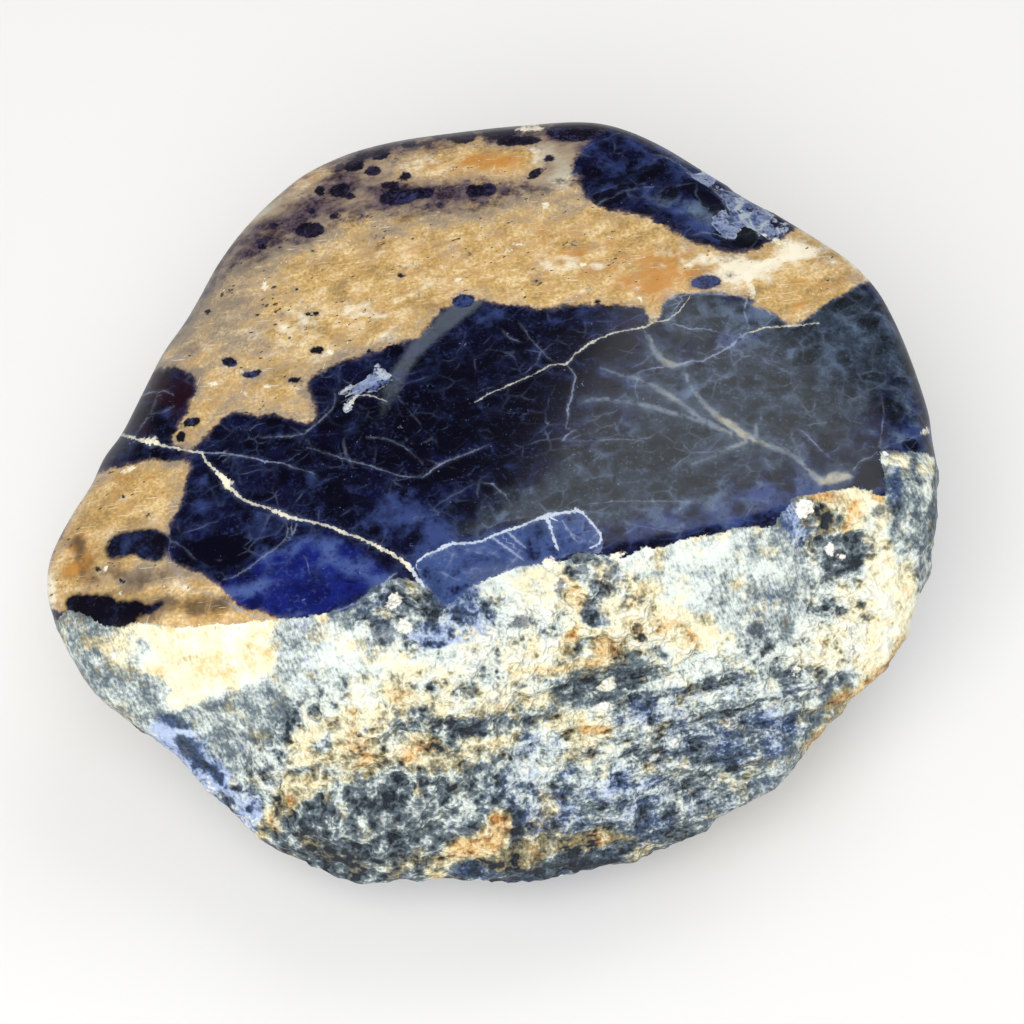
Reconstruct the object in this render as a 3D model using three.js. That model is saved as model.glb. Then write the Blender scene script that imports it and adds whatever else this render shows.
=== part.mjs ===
// Rough sodalite, sawn and polished on one domed face, ground along its front edge and left
// as it broke everywhere else. One closed stone, in millimetres, +Z up, lying on the small
// flat spot under it, with its origin at the middle of its footprint.
import * as THREE from 'three';
import { mergeVertices } from 'three/addons/utils/BufferGeometryUtils.js';
import { ImprovedNoise } from 'three/addons/math/ImprovedNoise.js';

const { degToRad, lerp, smoothstep } = THREE.MathUtils;

// ---- driving dimensions, in millimetres and degrees ----
// Every height and reach below is measured from the stone's heart, a point inside it.
const POLISH_HEIGHT = 12.0; // crown of the polished face above the heart
const REST_DEPTH = 17.5; // flat spot below the heart
const DOME_RADIUS_X = 150; // curve of the polished face from left to right
const DOME_RADIUS_Y = 260; // and from front to back
const DOME_LEAN_X = 0.03; // the face drops a little to the left
const DOME_LEAN_Y = 0.01; // and towards the front
const RIM_ROUNDING = { left: 6.5, right: 2.0 }; // where the polished face meets the rim

// The rim is laid out as it shows from the front quarter view, on a grid whose unit is
// GRID_UNIT at the heart. Grid x runs to the right and grid y runs down.
const VIEW_ELEVATION = 57;
const VIEW_DISTANCE = 215;
const GRID_UNIT = 0.0843;
const GRID_HEART = 512;
const RIM = [
  [45, 592], [50, 556], [75, 510], [93, 486], [105, 455], [122, 437], [135, 410], [165, 350],
  [185, 325], [205, 290], [215, 270], [235, 240], [260, 210], [300, 172], [345, 152],
  [400, 138], [500, 125], [545, 122], [576, 117], [610, 121], [666, 148], [709, 176],
  [772, 213], [821, 243], [852, 262], [882, 289], [902, 322], [916, 364], [931, 420],
  [929, 432], [937, 460], [936, 515], [931, 572], [920, 612], [908, 636], [890, 666],
  [849, 700], [822, 727], [799, 754], [786, 775], [774, 786], [736, 804], [695, 830],
  [692, 838], [674, 852], [649, 863], [616, 872], [588, 879], [563, 881], [545, 877],
  [534, 882], [498, 877], [449, 877], [431, 872], [411, 879], [394, 888], [354, 893],
  [333, 879], [311, 873], [294, 861], [281, 845], [274, 834], [258, 832], [232, 815],
  [199, 784], [183, 761], [166, 747], [133, 724], [95, 701], [85, 686], [65, 646], [57, 625],
];

// Facets. turn is the heading of the outward normal, counted from +X towards +Y, tilt is how
// far it looks up, reach is its distance from the heart, and soft is how wide it rounds off.
const GROUND_FACETS = [
  { turn: -103, tilt: 35, reach: 22.2, soft: 2.6 }, // ground bevel, left half
  { turn: -68, tilt: 41, reach: 18.4, soft: 1.4 }, // ground bevel, right half
  { turn: 6, tilt: 50, reach: 28.6, soft: 1.2 }, // polished strip along the right edge
];
const BROKEN_FACETS = [
  { turn: -92, tilt: 20, reach: 28.4, soft: 4 }, // slope below the ground bevel
  { turn: -60, tilt: 22, reach: 28.2, soft: 4 }, // its right shoulder
  { turn: -25, tilt: 18, reach: 34.0, soft: 5 }, // right front corner
  { turn: -130, tilt: 4, reach: 38.0, soft: 5 }, // left front corner
];
const UNDER_FACETS = [
  { turn: -92, tilt: -46, reach: 30.0, soft: 6 },
  { turn: -50, tilt: -40, reach: 30.2, soft: 6 },
  { turn: -14, tilt: -30, reach: 32.5, soft: 6 },
  { turn: 24, tilt: -20, reach: 32.0, soft: 5 },
  { turn: 60, tilt: -28, reach: 29.5, soft: 5 },
  { turn: 92, tilt: -22, reach: 31.0, soft: 5 },
  { turn: 126, tilt: -34, reach: 27.5, soft: 6 },
  { turn: 158, tilt: -38, reach: 26.5, soft: 6 },
  { turn: -166, tilt: -44, reach: 28.5, soft: 6 },
  { turn: -132, tilt: -42, reach: 33.0, soft: 6 },
  { turn: -100, tilt: -68, reach: 20.6, soft: 5 },
  { turn: -20, tilt: -66, reach: 21.4, soft: 5 },
  { turn: 45, tilt: -68, reach: 20.8, soft: 5 },
  { turn: 110, tilt: -66, reach: 20.8, soft: 5 },
  { turn: 180, tilt: -67, reach: 20.6, soft: 5 },
];

// Forms of the broken front, placed on the same grid: middle, half size, turn of the long
// axis, and rise, outwards where positive.
const FRONT_FORMS = [
  { at: [362, 815], size: [80, 52], turn: 8, rise: 2.4 }, // dark bulge by the notch
  { at: [448, 842], size: [30, 34], turn: 70, rise: -1.6 }, // groove above the notch
  { at: [745, 745], size: [62, 30], turn: 16, rise: 1.4 }, // blue lump
  { at: [690, 785], size: [70, 18], turn: 14, rise: -1.0 }, // foot of that lump
  { at: [618, 680], size: [56, 22], turn: 6, rise: -1.0 }, // dark layered hollow
  { at: [560, 800], size: [90, 40], turn: 10, rise: 0.9 }, // low swelling
  { at: [205, 748], size: [44, 26], turn: -45, rise: -1.8 }, // blue pocket, left edge
  { at: [428, 606], size: [22, 24], turn: 0, rise: -0.9 }, // pit where the white seam ends
  { at: [832, 528], size: [34, 26], turn: 0, rise: -0.8 }, // rough hollow at the right
  { at: [340, 735], size: [70, 18], turn: 20, rise: 0.9 }, // ridge above the bulge
  { at: [470, 700], size: [60, 30], turn: 15, rise: 0.7 }, // swelling under the bevel
];
const CHIP = { // flaked step in the front edge of the polished face
  at: [516, 572], size: [92, 34], turn: 14, depth: 0.7,
};
const LUMPS = [ // broken relief: wave length and rise
  { size: 12, rise: 1.5 },
  { size: 6, rise: 1.0 },
  { size: 3.2, rise: 0.45 },
];
const LEDGES = { pitch: 3.6, depth: 0.55, turn: 106, tilt: 38, from: 470, to: 620 };
const BEVEL_FOOT = [ // grid heights where the ground bevel gives way to broken stone
  [40, 700], [150, 745], [235, 770], [300, 690], [420, 655], [520, 600], [600, 585],
  [655, 600], [700, 640], [790, 636], [850, 590], [870, 500], [940, 440],
];
const BROKEN_FADE = 24; // grid width over which broken relief starts
const BROKEN_START = 0.4; // its share of the full relief there
const BROKEN_FULL = 110; // grid distance below the bevel at which it is full
const BACK_FADE = 0.12; // share of the way round the rim over which it fades in behind

const MESH_DETAIL = 19; // gives 20 * (MESH_DETAIL + 1) ** 2 triangles
const MESH_STRETCH = new THREE.Vector3(1, 0.84, 0.44); // evens them out over a flat stone
const MESH_LEAN = 0.18; // and sets more of them on the front
const RIM_STEPS = 360; // steps round the rim
const LEAN_STEPS = 180; // steps from the view axis to its other end
const FIT_SPAN = 8; // steps to either side that the outline's fit is evened over
const FIT_SPARE = 0.012;
const RIM_TRIM = 0.9; // rounding where the stone is trimmed to the rim, in millimetres

const SODALITE = new THREE.MeshStandardMaterial({
  name: 'sodalite', color: 0x2b3350, roughness: 0.35, metalness: 0,
});

// ---- the view that the rim is laid out in ----
const elevation = degToRad(VIEW_ELEVATION);
const viewRight = new THREE.Vector3(1, 0, 0);
const viewUp = new THREE.Vector3(0, Math.sin(elevation), Math.cos(elevation));
const viewOut = new THREE.Vector3(0, -Math.cos(elevation), Math.sin(elevation));

function viewRay(angle, lean) {
  return new THREE.Vector3()
    .addScaledVector(viewRight, Math.sin(lean) * Math.cos(angle))
    .addScaledVector(viewUp, Math.sin(lean) * Math.sin(angle))
    .addScaledVector(viewOut, Math.cos(lean));
}

function gridPoint(point) {
  const unit = GRID_UNIT * (1 - point.dot(viewOut) / VIEW_DISTANCE);
  return [GRID_HEART + point.x / unit, GRID_HEART - point.dot(viewUp) / unit];
}

function rimRadius(angle) {
  const dx = Math.cos(angle);
  const dy = -Math.sin(angle);
  for (let i = 0; i < RIM.length; i += 1) {
    const [ax, ay] = RIM[i].map((n) => n - GRID_HEART);
    const [bx, by] = RIM[(i + 1) % RIM.length].map((n) => n - GRID_HEART);
    const cross = dx * (by - ay) - dy * (bx - ax);
    const along = (ax * (by - ay) - ay * (bx - ax)) / cross;
    const share = (ax * dy - ay * dx) / cross;
    if (along > 0 && share >= 0 && share <= 1) return along * GRID_UNIT;
  }
  throw new Error('the rim is open');
}

// ---- how far each limit of the stone lets a ray from the heart go ----
function rimReach(ray) {
  const side = ray.dot(viewRight);
  const up = ray.dot(viewUp);
  const radius = rimRadius(Math.atan2(up, side));
  const spread = Math.hypot(side, up) + (radius * ray.dot(viewOut)) / VIEW_DISTANCE;
  return spread > 0 ? radius / spread : Infinity;
}

function domeReach(ray) {
  const bend = ray.x ** 2 / (2 * DOME_RADIUS_X) + ray.y ** 2 / (2 * DOME_RADIUS_Y);
  const rise = ray.z - DOME_LEAN_X * ray.x - DOME_LEAN_Y * ray.y;
  return (-rise + Math.sqrt(rise ** 2 + 4 * bend * POLISH_HEIGHT)) / (2 * bend);
}

function heading({ turn, tilt }) {
  const level = Math.cos(degToRad(tilt));
  return new THREE.Vector3(
    level * Math.cos(degToRad(turn)), level * Math.sin(degToRad(turn)), Math.sin(degToRad(tilt)));
}

function facetReach(facet, ray) {
  const facing = heading(facet).dot(ray);
  return facing > 0 ? facet.reach / facing : Infinity;
}

function softMin(a, b, width) {
  const share = Math.max(width - Math.abs(a - b), 0) / width;
  return Math.min(a, b) - (share ** 2 * width) / 4;
}

function plainReach(ray, rimShare = 1) {
  const leftness = smoothstep(-ray.x, -0.5, 0.6);
  const rounding = lerp(RIM_ROUNDING.right, RIM_ROUNDING.left, leftness);
  return [...GROUND_FACETS, ...BROKEN_FACETS, ...UNDER_FACETS].reduce(
    (reach, facet) => softMin(reach, facetReach(facet, ray), facet.soft),
    softMin(rimShare * rimReach(ray), domeReach(ray), rounding));
}

// ---- relief ----
const noise = new ImprovedNoise();

function lineHeight(line, x) {
  const i = Math.max(1, line.findIndex((point) => point[0] > x));
  const [x0, y0] = line[i - 1];
  const [x1, y1] = line[i];
  return lerp(y0, y1, THREE.MathUtils.clamp((x - x0) / (x1 - x0), 0, 1));
}

function brokenRelief(point, gridX) {
  let height = 0;
  for (const { size, rise } of LUMPS) {
    height += rise * noise.noise(point.x / size + 7.3, point.y / size, point.z / size);
  }
  const wander = 0.7 * noise.noise(point.x / 15, point.y / 15, point.z / 15 + 3.1);
  const layer = heading(LEDGES).dot(point) / LEDGES.pitch + wander;
  const step = layer - Math.floor(layer);
  const ledge = Math.min(step / 0.75, (1 - step) / 0.25) - 0.5;
  return height + LEDGES.depth * ledge * smoothstep(gridX, LEDGES.from, LEDGES.to);
}

function swelling({ at, size, turn }, [gridX, gridY]) {
  const a = degToRad(turn);
  const along = ((gridX - at[0]) * Math.cos(a) - (gridY - at[1]) * Math.sin(a)) / size[0];
  const across = ((gridX - at[0]) * Math.sin(a) + (gridY - at[1]) * Math.cos(a)) / size[1];
  return Math.exp(-(along ** 2) - across ** 2);
}

// The lean from the view axis at which a stone shows its outline.
function outlineLean(reachOf, angle) {
  let best = { lean: 0, radius: 0 };
  for (let i = 1; i < LEAN_STEPS; i += 1) {
    const lean = (Math.PI * i) / LEAN_STEPS;
    const ray = viewRay(angle, lean);
    const reach = reachOf(ray);
    const radius = (reach * Math.sin(lean)) / (1 - (reach * Math.cos(lean)) / VIEW_DISTANCE);
    if (radius > best.radius) best = { lean, radius };
  }
  return best.lean;
}

function roundTable(value) {
  const table = Array.from({ length: RIM_STEPS }, (_, i) => value((2 * Math.PI * i) / RIM_STEPS));
  return (angle) => {
    const at = ((angle / (2 * Math.PI) + 1) % 1) * RIM_STEPS;
    const i = Math.floor(at) % RIM_STEPS;
    return lerp(table[i], table[(i + 1) % RIM_STEPS], at - Math.floor(at));
  };
}

const viewAngle = (ray) => Math.atan2(ray.dot(viewUp), ray.dot(viewRight));
const outline = roundTable((angle) => outlineLean((ray) => plainReach(ray), angle));

// Rounding pulls the outline in from the rim, and this share brings it back out.
const rimFit = roundTable((angle) => {
  let share = 0;
  for (let i = -FIT_SPAN; i <= FIT_SPAN; i += 1) {
    const near = angle + (2 * Math.PI * i) / RIM_STEPS;
    const ray = viewRay(near, outline(near));
    share += rimReach(ray) / plainReach(ray) / (2 * FIT_SPAN + 1);
  }
  return share * (1 + FIT_SPARE);
});

function reliefReach(ray) {
  const angle = viewAngle(ray);
  const turned = ray.angleTo(viewOut) / outline(angle); // 1 at the outline
  const plain = plainReach(ray, rimFit(angle));
  const point = ray.clone().multiplyScalar(plain);
  const grid = gridPoint(point);
  const behind = smoothstep(turned, 1, 1 + BACK_FADE);
  const below = grid[1] - lineHeight(BEVEL_FOOT, grid[0]);
  const broken = Math.max(behind, BROKEN_START * smoothstep(below, -BROKEN_FADE, BROKEN_FADE)
    + (1 - BROKEN_START) * smoothstep(below, 0, BROKEN_FULL));
  const front = 1 - smoothstep(turned, 0.95, 1.1);
  let height = broken * brokenRelief(point, grid[0]) - front * CHIP.depth * swelling(CHIP, grid);
  for (const form of FRONT_FORMS) height += front * form.rise * swelling(form, grid);
  return plain + height;
}

function stoneReach(ray) {
  return softMin(reliefReach(ray), rimReach(ray) + RIM_TRIM / 4, RIM_TRIM);
}

function sodalite() {
  const ball = new THREE.IcosahedronGeometry(1, MESH_DETAIL);
  ball.deleteAttribute('normal');
  ball.deleteAttribute('uv');
  const stone = mergeVertices(ball, 1e-5);
  const corners = stone.getAttribute('position');
  const ray = new THREE.Vector3();
  for (let i = 0; i < corners.count; i += 1) {
    ray.fromBufferAttribute(corners, i).multiply(MESH_STRETCH).normalize();
    ray.addScaledVector(viewOut, MESH_LEAN).normalize();
    ray.multiplyScalar(stoneReach(ray));
    corners.setXYZ(i, ray.x, ray.y, Math.max(ray.z, -REST_DEPTH));
  }
  stone.computeBoundingBox();
  const middle = stone.boundingBox.getCenter(new THREE.Vector3());
  stone.translate(-middle.x, -middle.y, REST_DEPTH);
  stone.computeVertexNormals();
  const mesh = new THREE.Mesh(stone, SODALITE);
  mesh.name = 'sodalite';
  return mesh;
}

const specimen = new THREE.Group();
specimen.add(sodalite());
export default specimen;
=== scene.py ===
"""Looks of a rough sodalite: one stone, polished on a domed face, ground along its front edge
and broken everywhere else, on a plain pale stage."""

import math
from types import SimpleNamespace

import bpy
import numpy as np
from mathutils import Matrix, Vector


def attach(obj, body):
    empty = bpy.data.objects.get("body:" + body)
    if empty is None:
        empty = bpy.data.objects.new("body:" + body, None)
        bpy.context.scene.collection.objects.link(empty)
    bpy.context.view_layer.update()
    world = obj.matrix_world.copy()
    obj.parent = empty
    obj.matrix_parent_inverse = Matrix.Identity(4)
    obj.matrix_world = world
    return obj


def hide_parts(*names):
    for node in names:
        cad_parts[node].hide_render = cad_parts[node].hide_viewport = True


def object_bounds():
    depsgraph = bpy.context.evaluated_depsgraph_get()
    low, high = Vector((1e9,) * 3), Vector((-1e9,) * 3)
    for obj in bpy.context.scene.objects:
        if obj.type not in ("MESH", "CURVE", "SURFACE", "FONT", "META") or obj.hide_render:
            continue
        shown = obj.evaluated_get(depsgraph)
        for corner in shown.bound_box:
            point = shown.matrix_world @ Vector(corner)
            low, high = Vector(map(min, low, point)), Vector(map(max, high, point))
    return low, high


bl_info = {
    "name": "Rough Sodalite",
    "version": (1, 0, 0),
    "blender": (4, 5, 0),
    "location": "View3D > Sidebar > Sodalite",
    "description": "Dresses a rough sodalite with its polished, ground and broken finishes",
    "category": "Object",
}

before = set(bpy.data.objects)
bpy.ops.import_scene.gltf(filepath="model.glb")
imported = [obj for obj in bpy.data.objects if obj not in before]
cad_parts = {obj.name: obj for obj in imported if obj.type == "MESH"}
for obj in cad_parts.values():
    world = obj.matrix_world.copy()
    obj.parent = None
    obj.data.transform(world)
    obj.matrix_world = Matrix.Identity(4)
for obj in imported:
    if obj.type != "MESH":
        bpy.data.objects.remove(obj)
CAD_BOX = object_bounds()

MM = 0.001

# ---- the view that the markings are laid out in ----
# Markings and forms are placed on a grid seen from the front quarter. A grid unit measures
# GRID_UNIT millimetres at the heart, a point inside the stone. x runs right and y runs down.
HEART = np.array((1.281, -2.728, 17.5))
VIEW_ELEVATION = math.radians(57)
VIEW_DISTANCE = 215.0
GRID_UNIT = 0.0843
GRID_HEART = 512
GRID_SPAN = 1024
VIEW_UP = np.array((0, math.sin(VIEW_ELEVATION), math.cos(VIEW_ELEVATION)))
VIEW_OUT = np.array((0, -math.cos(VIEW_ELEVATION), math.sin(VIEW_ELEVATION)))

# ---- outlines of the finishes, in grid units ----
# The whole polished face; its unseen back and sides are cut off by site_of.
POLISHED = [
    (30, 606), (54, 620), (68, 610), (85, 616), (107, 626), (121, 627), (138, 623), (180, 627),
    (231, 623), (284, 619), (332, 613), (351, 608), (362, 598), (378, 585), (394, 578), (408, 580),
    (420, 584), (432, 592), (442, 604), (450, 603), (458, 598), (472, 587), (504, 572), (545, 563),
    (567, 560), (577, 554), (603, 554), (618, 557), (647, 548), (663, 547), (682, 539), (714, 534),
    (740, 528), (775, 526), (778, 517), (791, 505), (794, 499), (819, 493), (854, 488), (880, 496),
    (886, 494), (884, 470), (879, 452), (900, 452), (919, 453), (937, 456), (990, 456), (990, 20),
    (20, 20), (-20, 590),
]
# The upper edge of the feldspar band, which its margin shares.
TAN_TOP = [
    (130, 372), (165, 345), (180, 328), (200, 300), (222, 275), (240, 266), (277, 247), (321, 235),
    (340, 221), (384, 214), (431, 211), (477, 207), (520, 194), (555, 183),
]
# The feldspar.
TAN = [
    # The broad band from the left edge to the right tip.
    [*TAN_TOP, (571, 178), (585, 196), (598, 206), (626, 213), (651, 219), (676, 233), (701, 244),
     (726, 251), (751, 252), (764, 246), (789, 234), (806, 222), (840, 235), (890, 282), (871, 281),
     (850, 290), (820, 307), (800, 322), (792, 327), (776, 314), (756, 307), (749, 297), (693, 292),
     (668, 298), (660, 316), (650, 325), (642, 308), (610, 305), (578, 304), (537, 309), (497, 302),
     (478, 300), (458, 299), (428, 325), (415, 339), (391, 345), (365, 355), (342, 362), (318, 372),
     (307, 385), (313, 398), (312, 422), (289, 418), (270, 414), (252, 415), (232, 412), (212, 428),
     (196, 447), (186, 452), (172, 440), (181, 425), (190, 405), (196, 390), (194, 376), (180, 369),
     (165, 368)],
    # Patch round the left edge, running on as a wedge along the front.
    [(60, 540), (75, 500), (93, 478), (110, 470), (143, 461), (172, 461), (189, 463), (186, 485),
     (179, 503), (172, 520), (168, 534), (167, 548), (171, 560), (183, 567), (205, 577), (225, 592),
     (240, 606), (262, 613), (276, 620), (254, 628), (188, 632), (150, 628), (130, 626), (100, 622),
     (68, 612), (50, 608), (30, 590), (38, 560)],
    # Orange patch along the top edge.
    [(386, 168), (404, 156), (436, 147), (470, 141), (500, 142), (534, 146), (548, 157), (538, 173),
     (516, 183), (486, 182), (462, 178), (440, 182), (412, 184), (394, 177)],
    # Small patch beside it.
    [(284, 198), (292, 184), (306, 172), (322, 166), (330, 172), (318, 184), (300, 194)],
]
# The clear blue lens low on the left.
LENS = [
    (212, 588), (235, 578), (250, 570), (266, 556), (282, 548), (305, 540), (332, 535), (352, 545),
    (370, 560), (388, 577), (376, 592), (358, 604), (330, 612), (300, 617), (265, 617), (240, 610),
    (222, 600),
]
# The stepped face in the front edge.
STEP = [
    (417, 561), (440, 549), (453, 543), (468, 543), (481, 541), (507, 530), (535, 520), (546, 515),
    (567, 512), (582, 511), (592, 523), (602, 536), (600, 552), (577, 553), (545, 563), (504, 572),
    (472, 588), (448, 606), (430, 592), (420, 576),
]
# The mottled margin, from the feldspar band's upper edge to the rim.
MAUVE = [
    *TAN_TOP, (571, 176), (577, 158), (590, 140), (604, 128), (612, 110), (500, 90), (300, 120),
    (190, 240), (110, 380),
]
# The chipped rim at the back right.
CHIPPED = [
    (684, 167), (698, 171), (711, 179), (724, 186), (740, 190), (753, 197), (766, 208), (778, 218),
    (788, 226), (780, 235), (768, 238), (760, 230), (750, 226), (744, 225), (736, 232), (733, 238),
    (722, 231), (714, 221), (720, 212), (731, 214), (727, 204), (719, 195), (708, 183), (695, 176),
]
# A small frosted flaw in the dark blue.
GLINT = [
    (340, 393), (348, 387), (357, 383), (366, 378), (372, 371), (378, 365), (384, 370), (388, 375),
    (396, 380), (388, 386), (380, 391), (371, 393), (361, 394), (356, 399), (350, 407), (346, 409),
    (349, 400), (354, 394),
]

# Dark grains in the tan feldspar and its margin: middle, half size and turn.
GRAINS = [
    ((354, 166), (11, 6), 10), ((373, 171), (9, 5), 10), ((381, 155), (10, 6), 10),
    ((362, 155), (7, 5), 20), ((406, 176), (6, 5), 0), ((340, 190), (11, 7), 15),
    ((320, 191), (6, 5), 0), ((390, 185), (11, 4), 0), ((399, 197), (21, 8), 8),
    ((424, 193), (11, 6), 10), ((349, 196), (8, 4), -10), ((310, 230), (15, 8), 5),
    ((274, 226), (5, 4), 0), ((263, 247), (5, 3), 0), ((312, 211), (4, 4), 0),
    ((335, 216), (6, 3), 0), ((474, 191), (9, 7), 0), ((488, 190), (9, 7), 0),
    ((463, 137), (14, 7), 5), ((440, 136), (8, 4), 5), ((409, 144), (9, 4), 10),
    ((401, 275), (4, 2.4), 15), ((296, 289), (3, 1.6), 0), ((231, 291), (2.6, 2.6), 0),
    ((207, 312), (4, 3), 10), ((257, 315), (3, 2), 0), ((262, 305), (3, 1.8), 10),
    ((282, 314), (3, 1.6), 0), ((312, 314), (7, 2.2), 5), ((317, 350), (7, 4), 0),
    ((370, 351), (3, 2.6), 0), ((418, 293), (2.2, 1.8), 0), ((346, 283), (3, 1.6), 10),
    ((376, 237), (4, 2), 10), ((313, 251), (2.4, 1.8), 0), ((468, 254), (3, 1.6), 0),
    ((393, 351), (10, 6), 10), ((463, 301), (12, 7), 8), ((229, 362), (8, 5), -10),
    ((252, 374), (10, 4), 12), ((295, 380), (8, 3), 8), ((192, 422), (9, 5), 10),
    ((181, 437), (5, 6), 0), ((156, 454), (5, 4), 0), ((122, 497), (3, 2), 0),
    ((148, 516), (3, 2.6), 0), ((98, 569), (4.4, 4), 0), ((121, 582), (4, 3.4), 0),
    ((550, 158), (7, 3.6), 0), ((536, 173), (13, 3.6), 30), ((518, 141), (25, 5), 4),
    ((500, 133), (18, 5), 4), ((577, 131), (30, 11), 3), ((575, 244), (4, 2), 0),
    ((536, 281), (3, 1.6), 0), ((599, 302), (5, 2.2), 0), ((706, 282), (16, 7), 3),
    ((729, 275), (3, 2), 0), ((205, 262), (12, 10), 50), ((196, 292), (10, 5), 55),
]
# Larger dark islands in the feldspar, with ragged outlines.
ISLANDS = [
    [(105, 551), (110, 540), (122, 536), (136, 530), (152, 527), (164, 530), (170, 540), (166, 552),
     (158, 561), (146, 560), (136, 553), (124, 554), (114, 556)],
    [(66, 606), (76, 597), (96, 597), (116, 598), (134, 603), (148, 604), (160, 600), (164, 604),
     (154, 612), (140, 619), (134, 627), (118, 629), (101, 624), (84, 616)],
]
# Near-black cells within the sodalite: middle, half size and turn.
BLACK_CELLS = [
    ((407, 428), (8, 13), 5), ((426, 420), (6.5, 8), 0), ((400, 413), (7, 5), 20),
    ((347, 447), (9, 9), 30), ((401, 449), (6.5, 6), 0), ((380, 460), (6, 5), 0),
    ((393, 463), (8, 4), 0), ((225, 551), (30, 15), 8), ((910, 444), (9, 7), 0),
    ((870, 475), (10, 14), 0), ((703, 195), (26, 8), -36), ((738, 240), (28, 6), -14),
    ((746, 232), (10, 7), 0), ((610, 196), (18, 7), 18), ((330, 426), (14, 7), 20),
    ((472, 412), (12, 5), 0), ((345, 500), (24, 6), -4), ((455, 470), (16, 7), 20),
    ((490, 404), (10, 4), 30), ((450, 445), (16, 8), 12), ((600, 345), (30, 8), 20),
    ((205, 548), (12, 8), 0), ((300, 455), (14, 6), -20), ((325, 450), (10, 5), -30),
]

# Veins: each is a chain of (x, y, half width).
CREAM_VEINS = [
    [(112, 433, 1), (122, 435, 1.2), (131, 437, 2), (138, 440, 1.2), (146, 440, 3.2),
     (155, 442, 3.4), (160, 445, 1.2), (170, 447, 1.1), (190, 451, 1.1), (201, 452, 1.2),
     (204, 457, 1.3), (206, 462, 1.1), (212, 467, 1.6), (216, 472, 1.8), (222, 476, 2.6),
     (226, 481, 3.4), (229, 487, 3.6), (234, 491, 2), (238, 496, 2), (244, 500, 1.5),
     (255, 504, 1.2), (268, 508, 1.5), (280, 513, 2.1), (288, 517, 2.6), (295, 519, 1.8),
     (305, 521, 1.1), (320, 524, 1), (333, 528, 1.3), (345, 533, 1.7), (360, 538, 1.2),
     (375, 545, 1.6), (390, 553, 2.2), (402, 560, 2.1), (412, 570, 2.1), (420, 582, 1.9),
     (425, 592, 1.5), (429, 602, 1)],
    [(474, 403, 0.4), (485, 396, 0.7), (495, 391, 0.6), (505, 387, 0.8), (520, 380, 0.8),
     (535, 374, 0.6), (546, 367, 0.8), (555, 364, 0.7), (565, 365, 1.2), (569, 362, 1.1),
     (575, 354, 0.8), (583, 348, 1), (590, 343, 1.1), (598, 339, 0.9), (605, 336, 0.8),
     (613, 333, 1), (622, 331, 0.7), (632, 329, 0.7), (641, 328, 0.8), (646, 327, 1.4),
     (652, 323, 0.9), (668, 320, 0.7), (676, 314, 0.7), (683, 307, 0.8), (688, 300, 0.6),
     (691, 294, 0.5)],
    [(820, 323, 0.6), (799, 325, 1.2), (780, 327, 0.9), (768, 327, 1.2), (748, 333, 0.9)],
    [(340, 393, 0.8), (346, 390, 1.5), (352, 386, 1)],
    [(416, 562, 0.8), (426, 555, 1.1), (440, 549, 1.3), (453, 543, 1.8), (468, 543, 1.2),
     (481, 541, 1.5), (495, 535, 1.2), (507, 530, 1.5), (521, 526, 1.2), (535, 520, 1.6),
     (546, 515, 2.2), (556, 514, 1.5), (567, 512, 1.6), (576, 510, 1.9), (583, 512, 1.7),
     (590, 521, 1.4), (598, 530, 1.5), (602, 537, 1.6), (598, 545, 1.1), (588, 548, 0.8)],
    [(546, 516, 1.9), (550, 526, 2), (554, 538, 1.9), (558, 550, 1.5)],
    [(345, 410, 1.6), (350, 404, 2), (354, 398, 2.2), (358, 395, 1.4), (368, 395, 0.8),
     (377, 398, 0.7), (388, 402, 0.4)],
]
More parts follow.
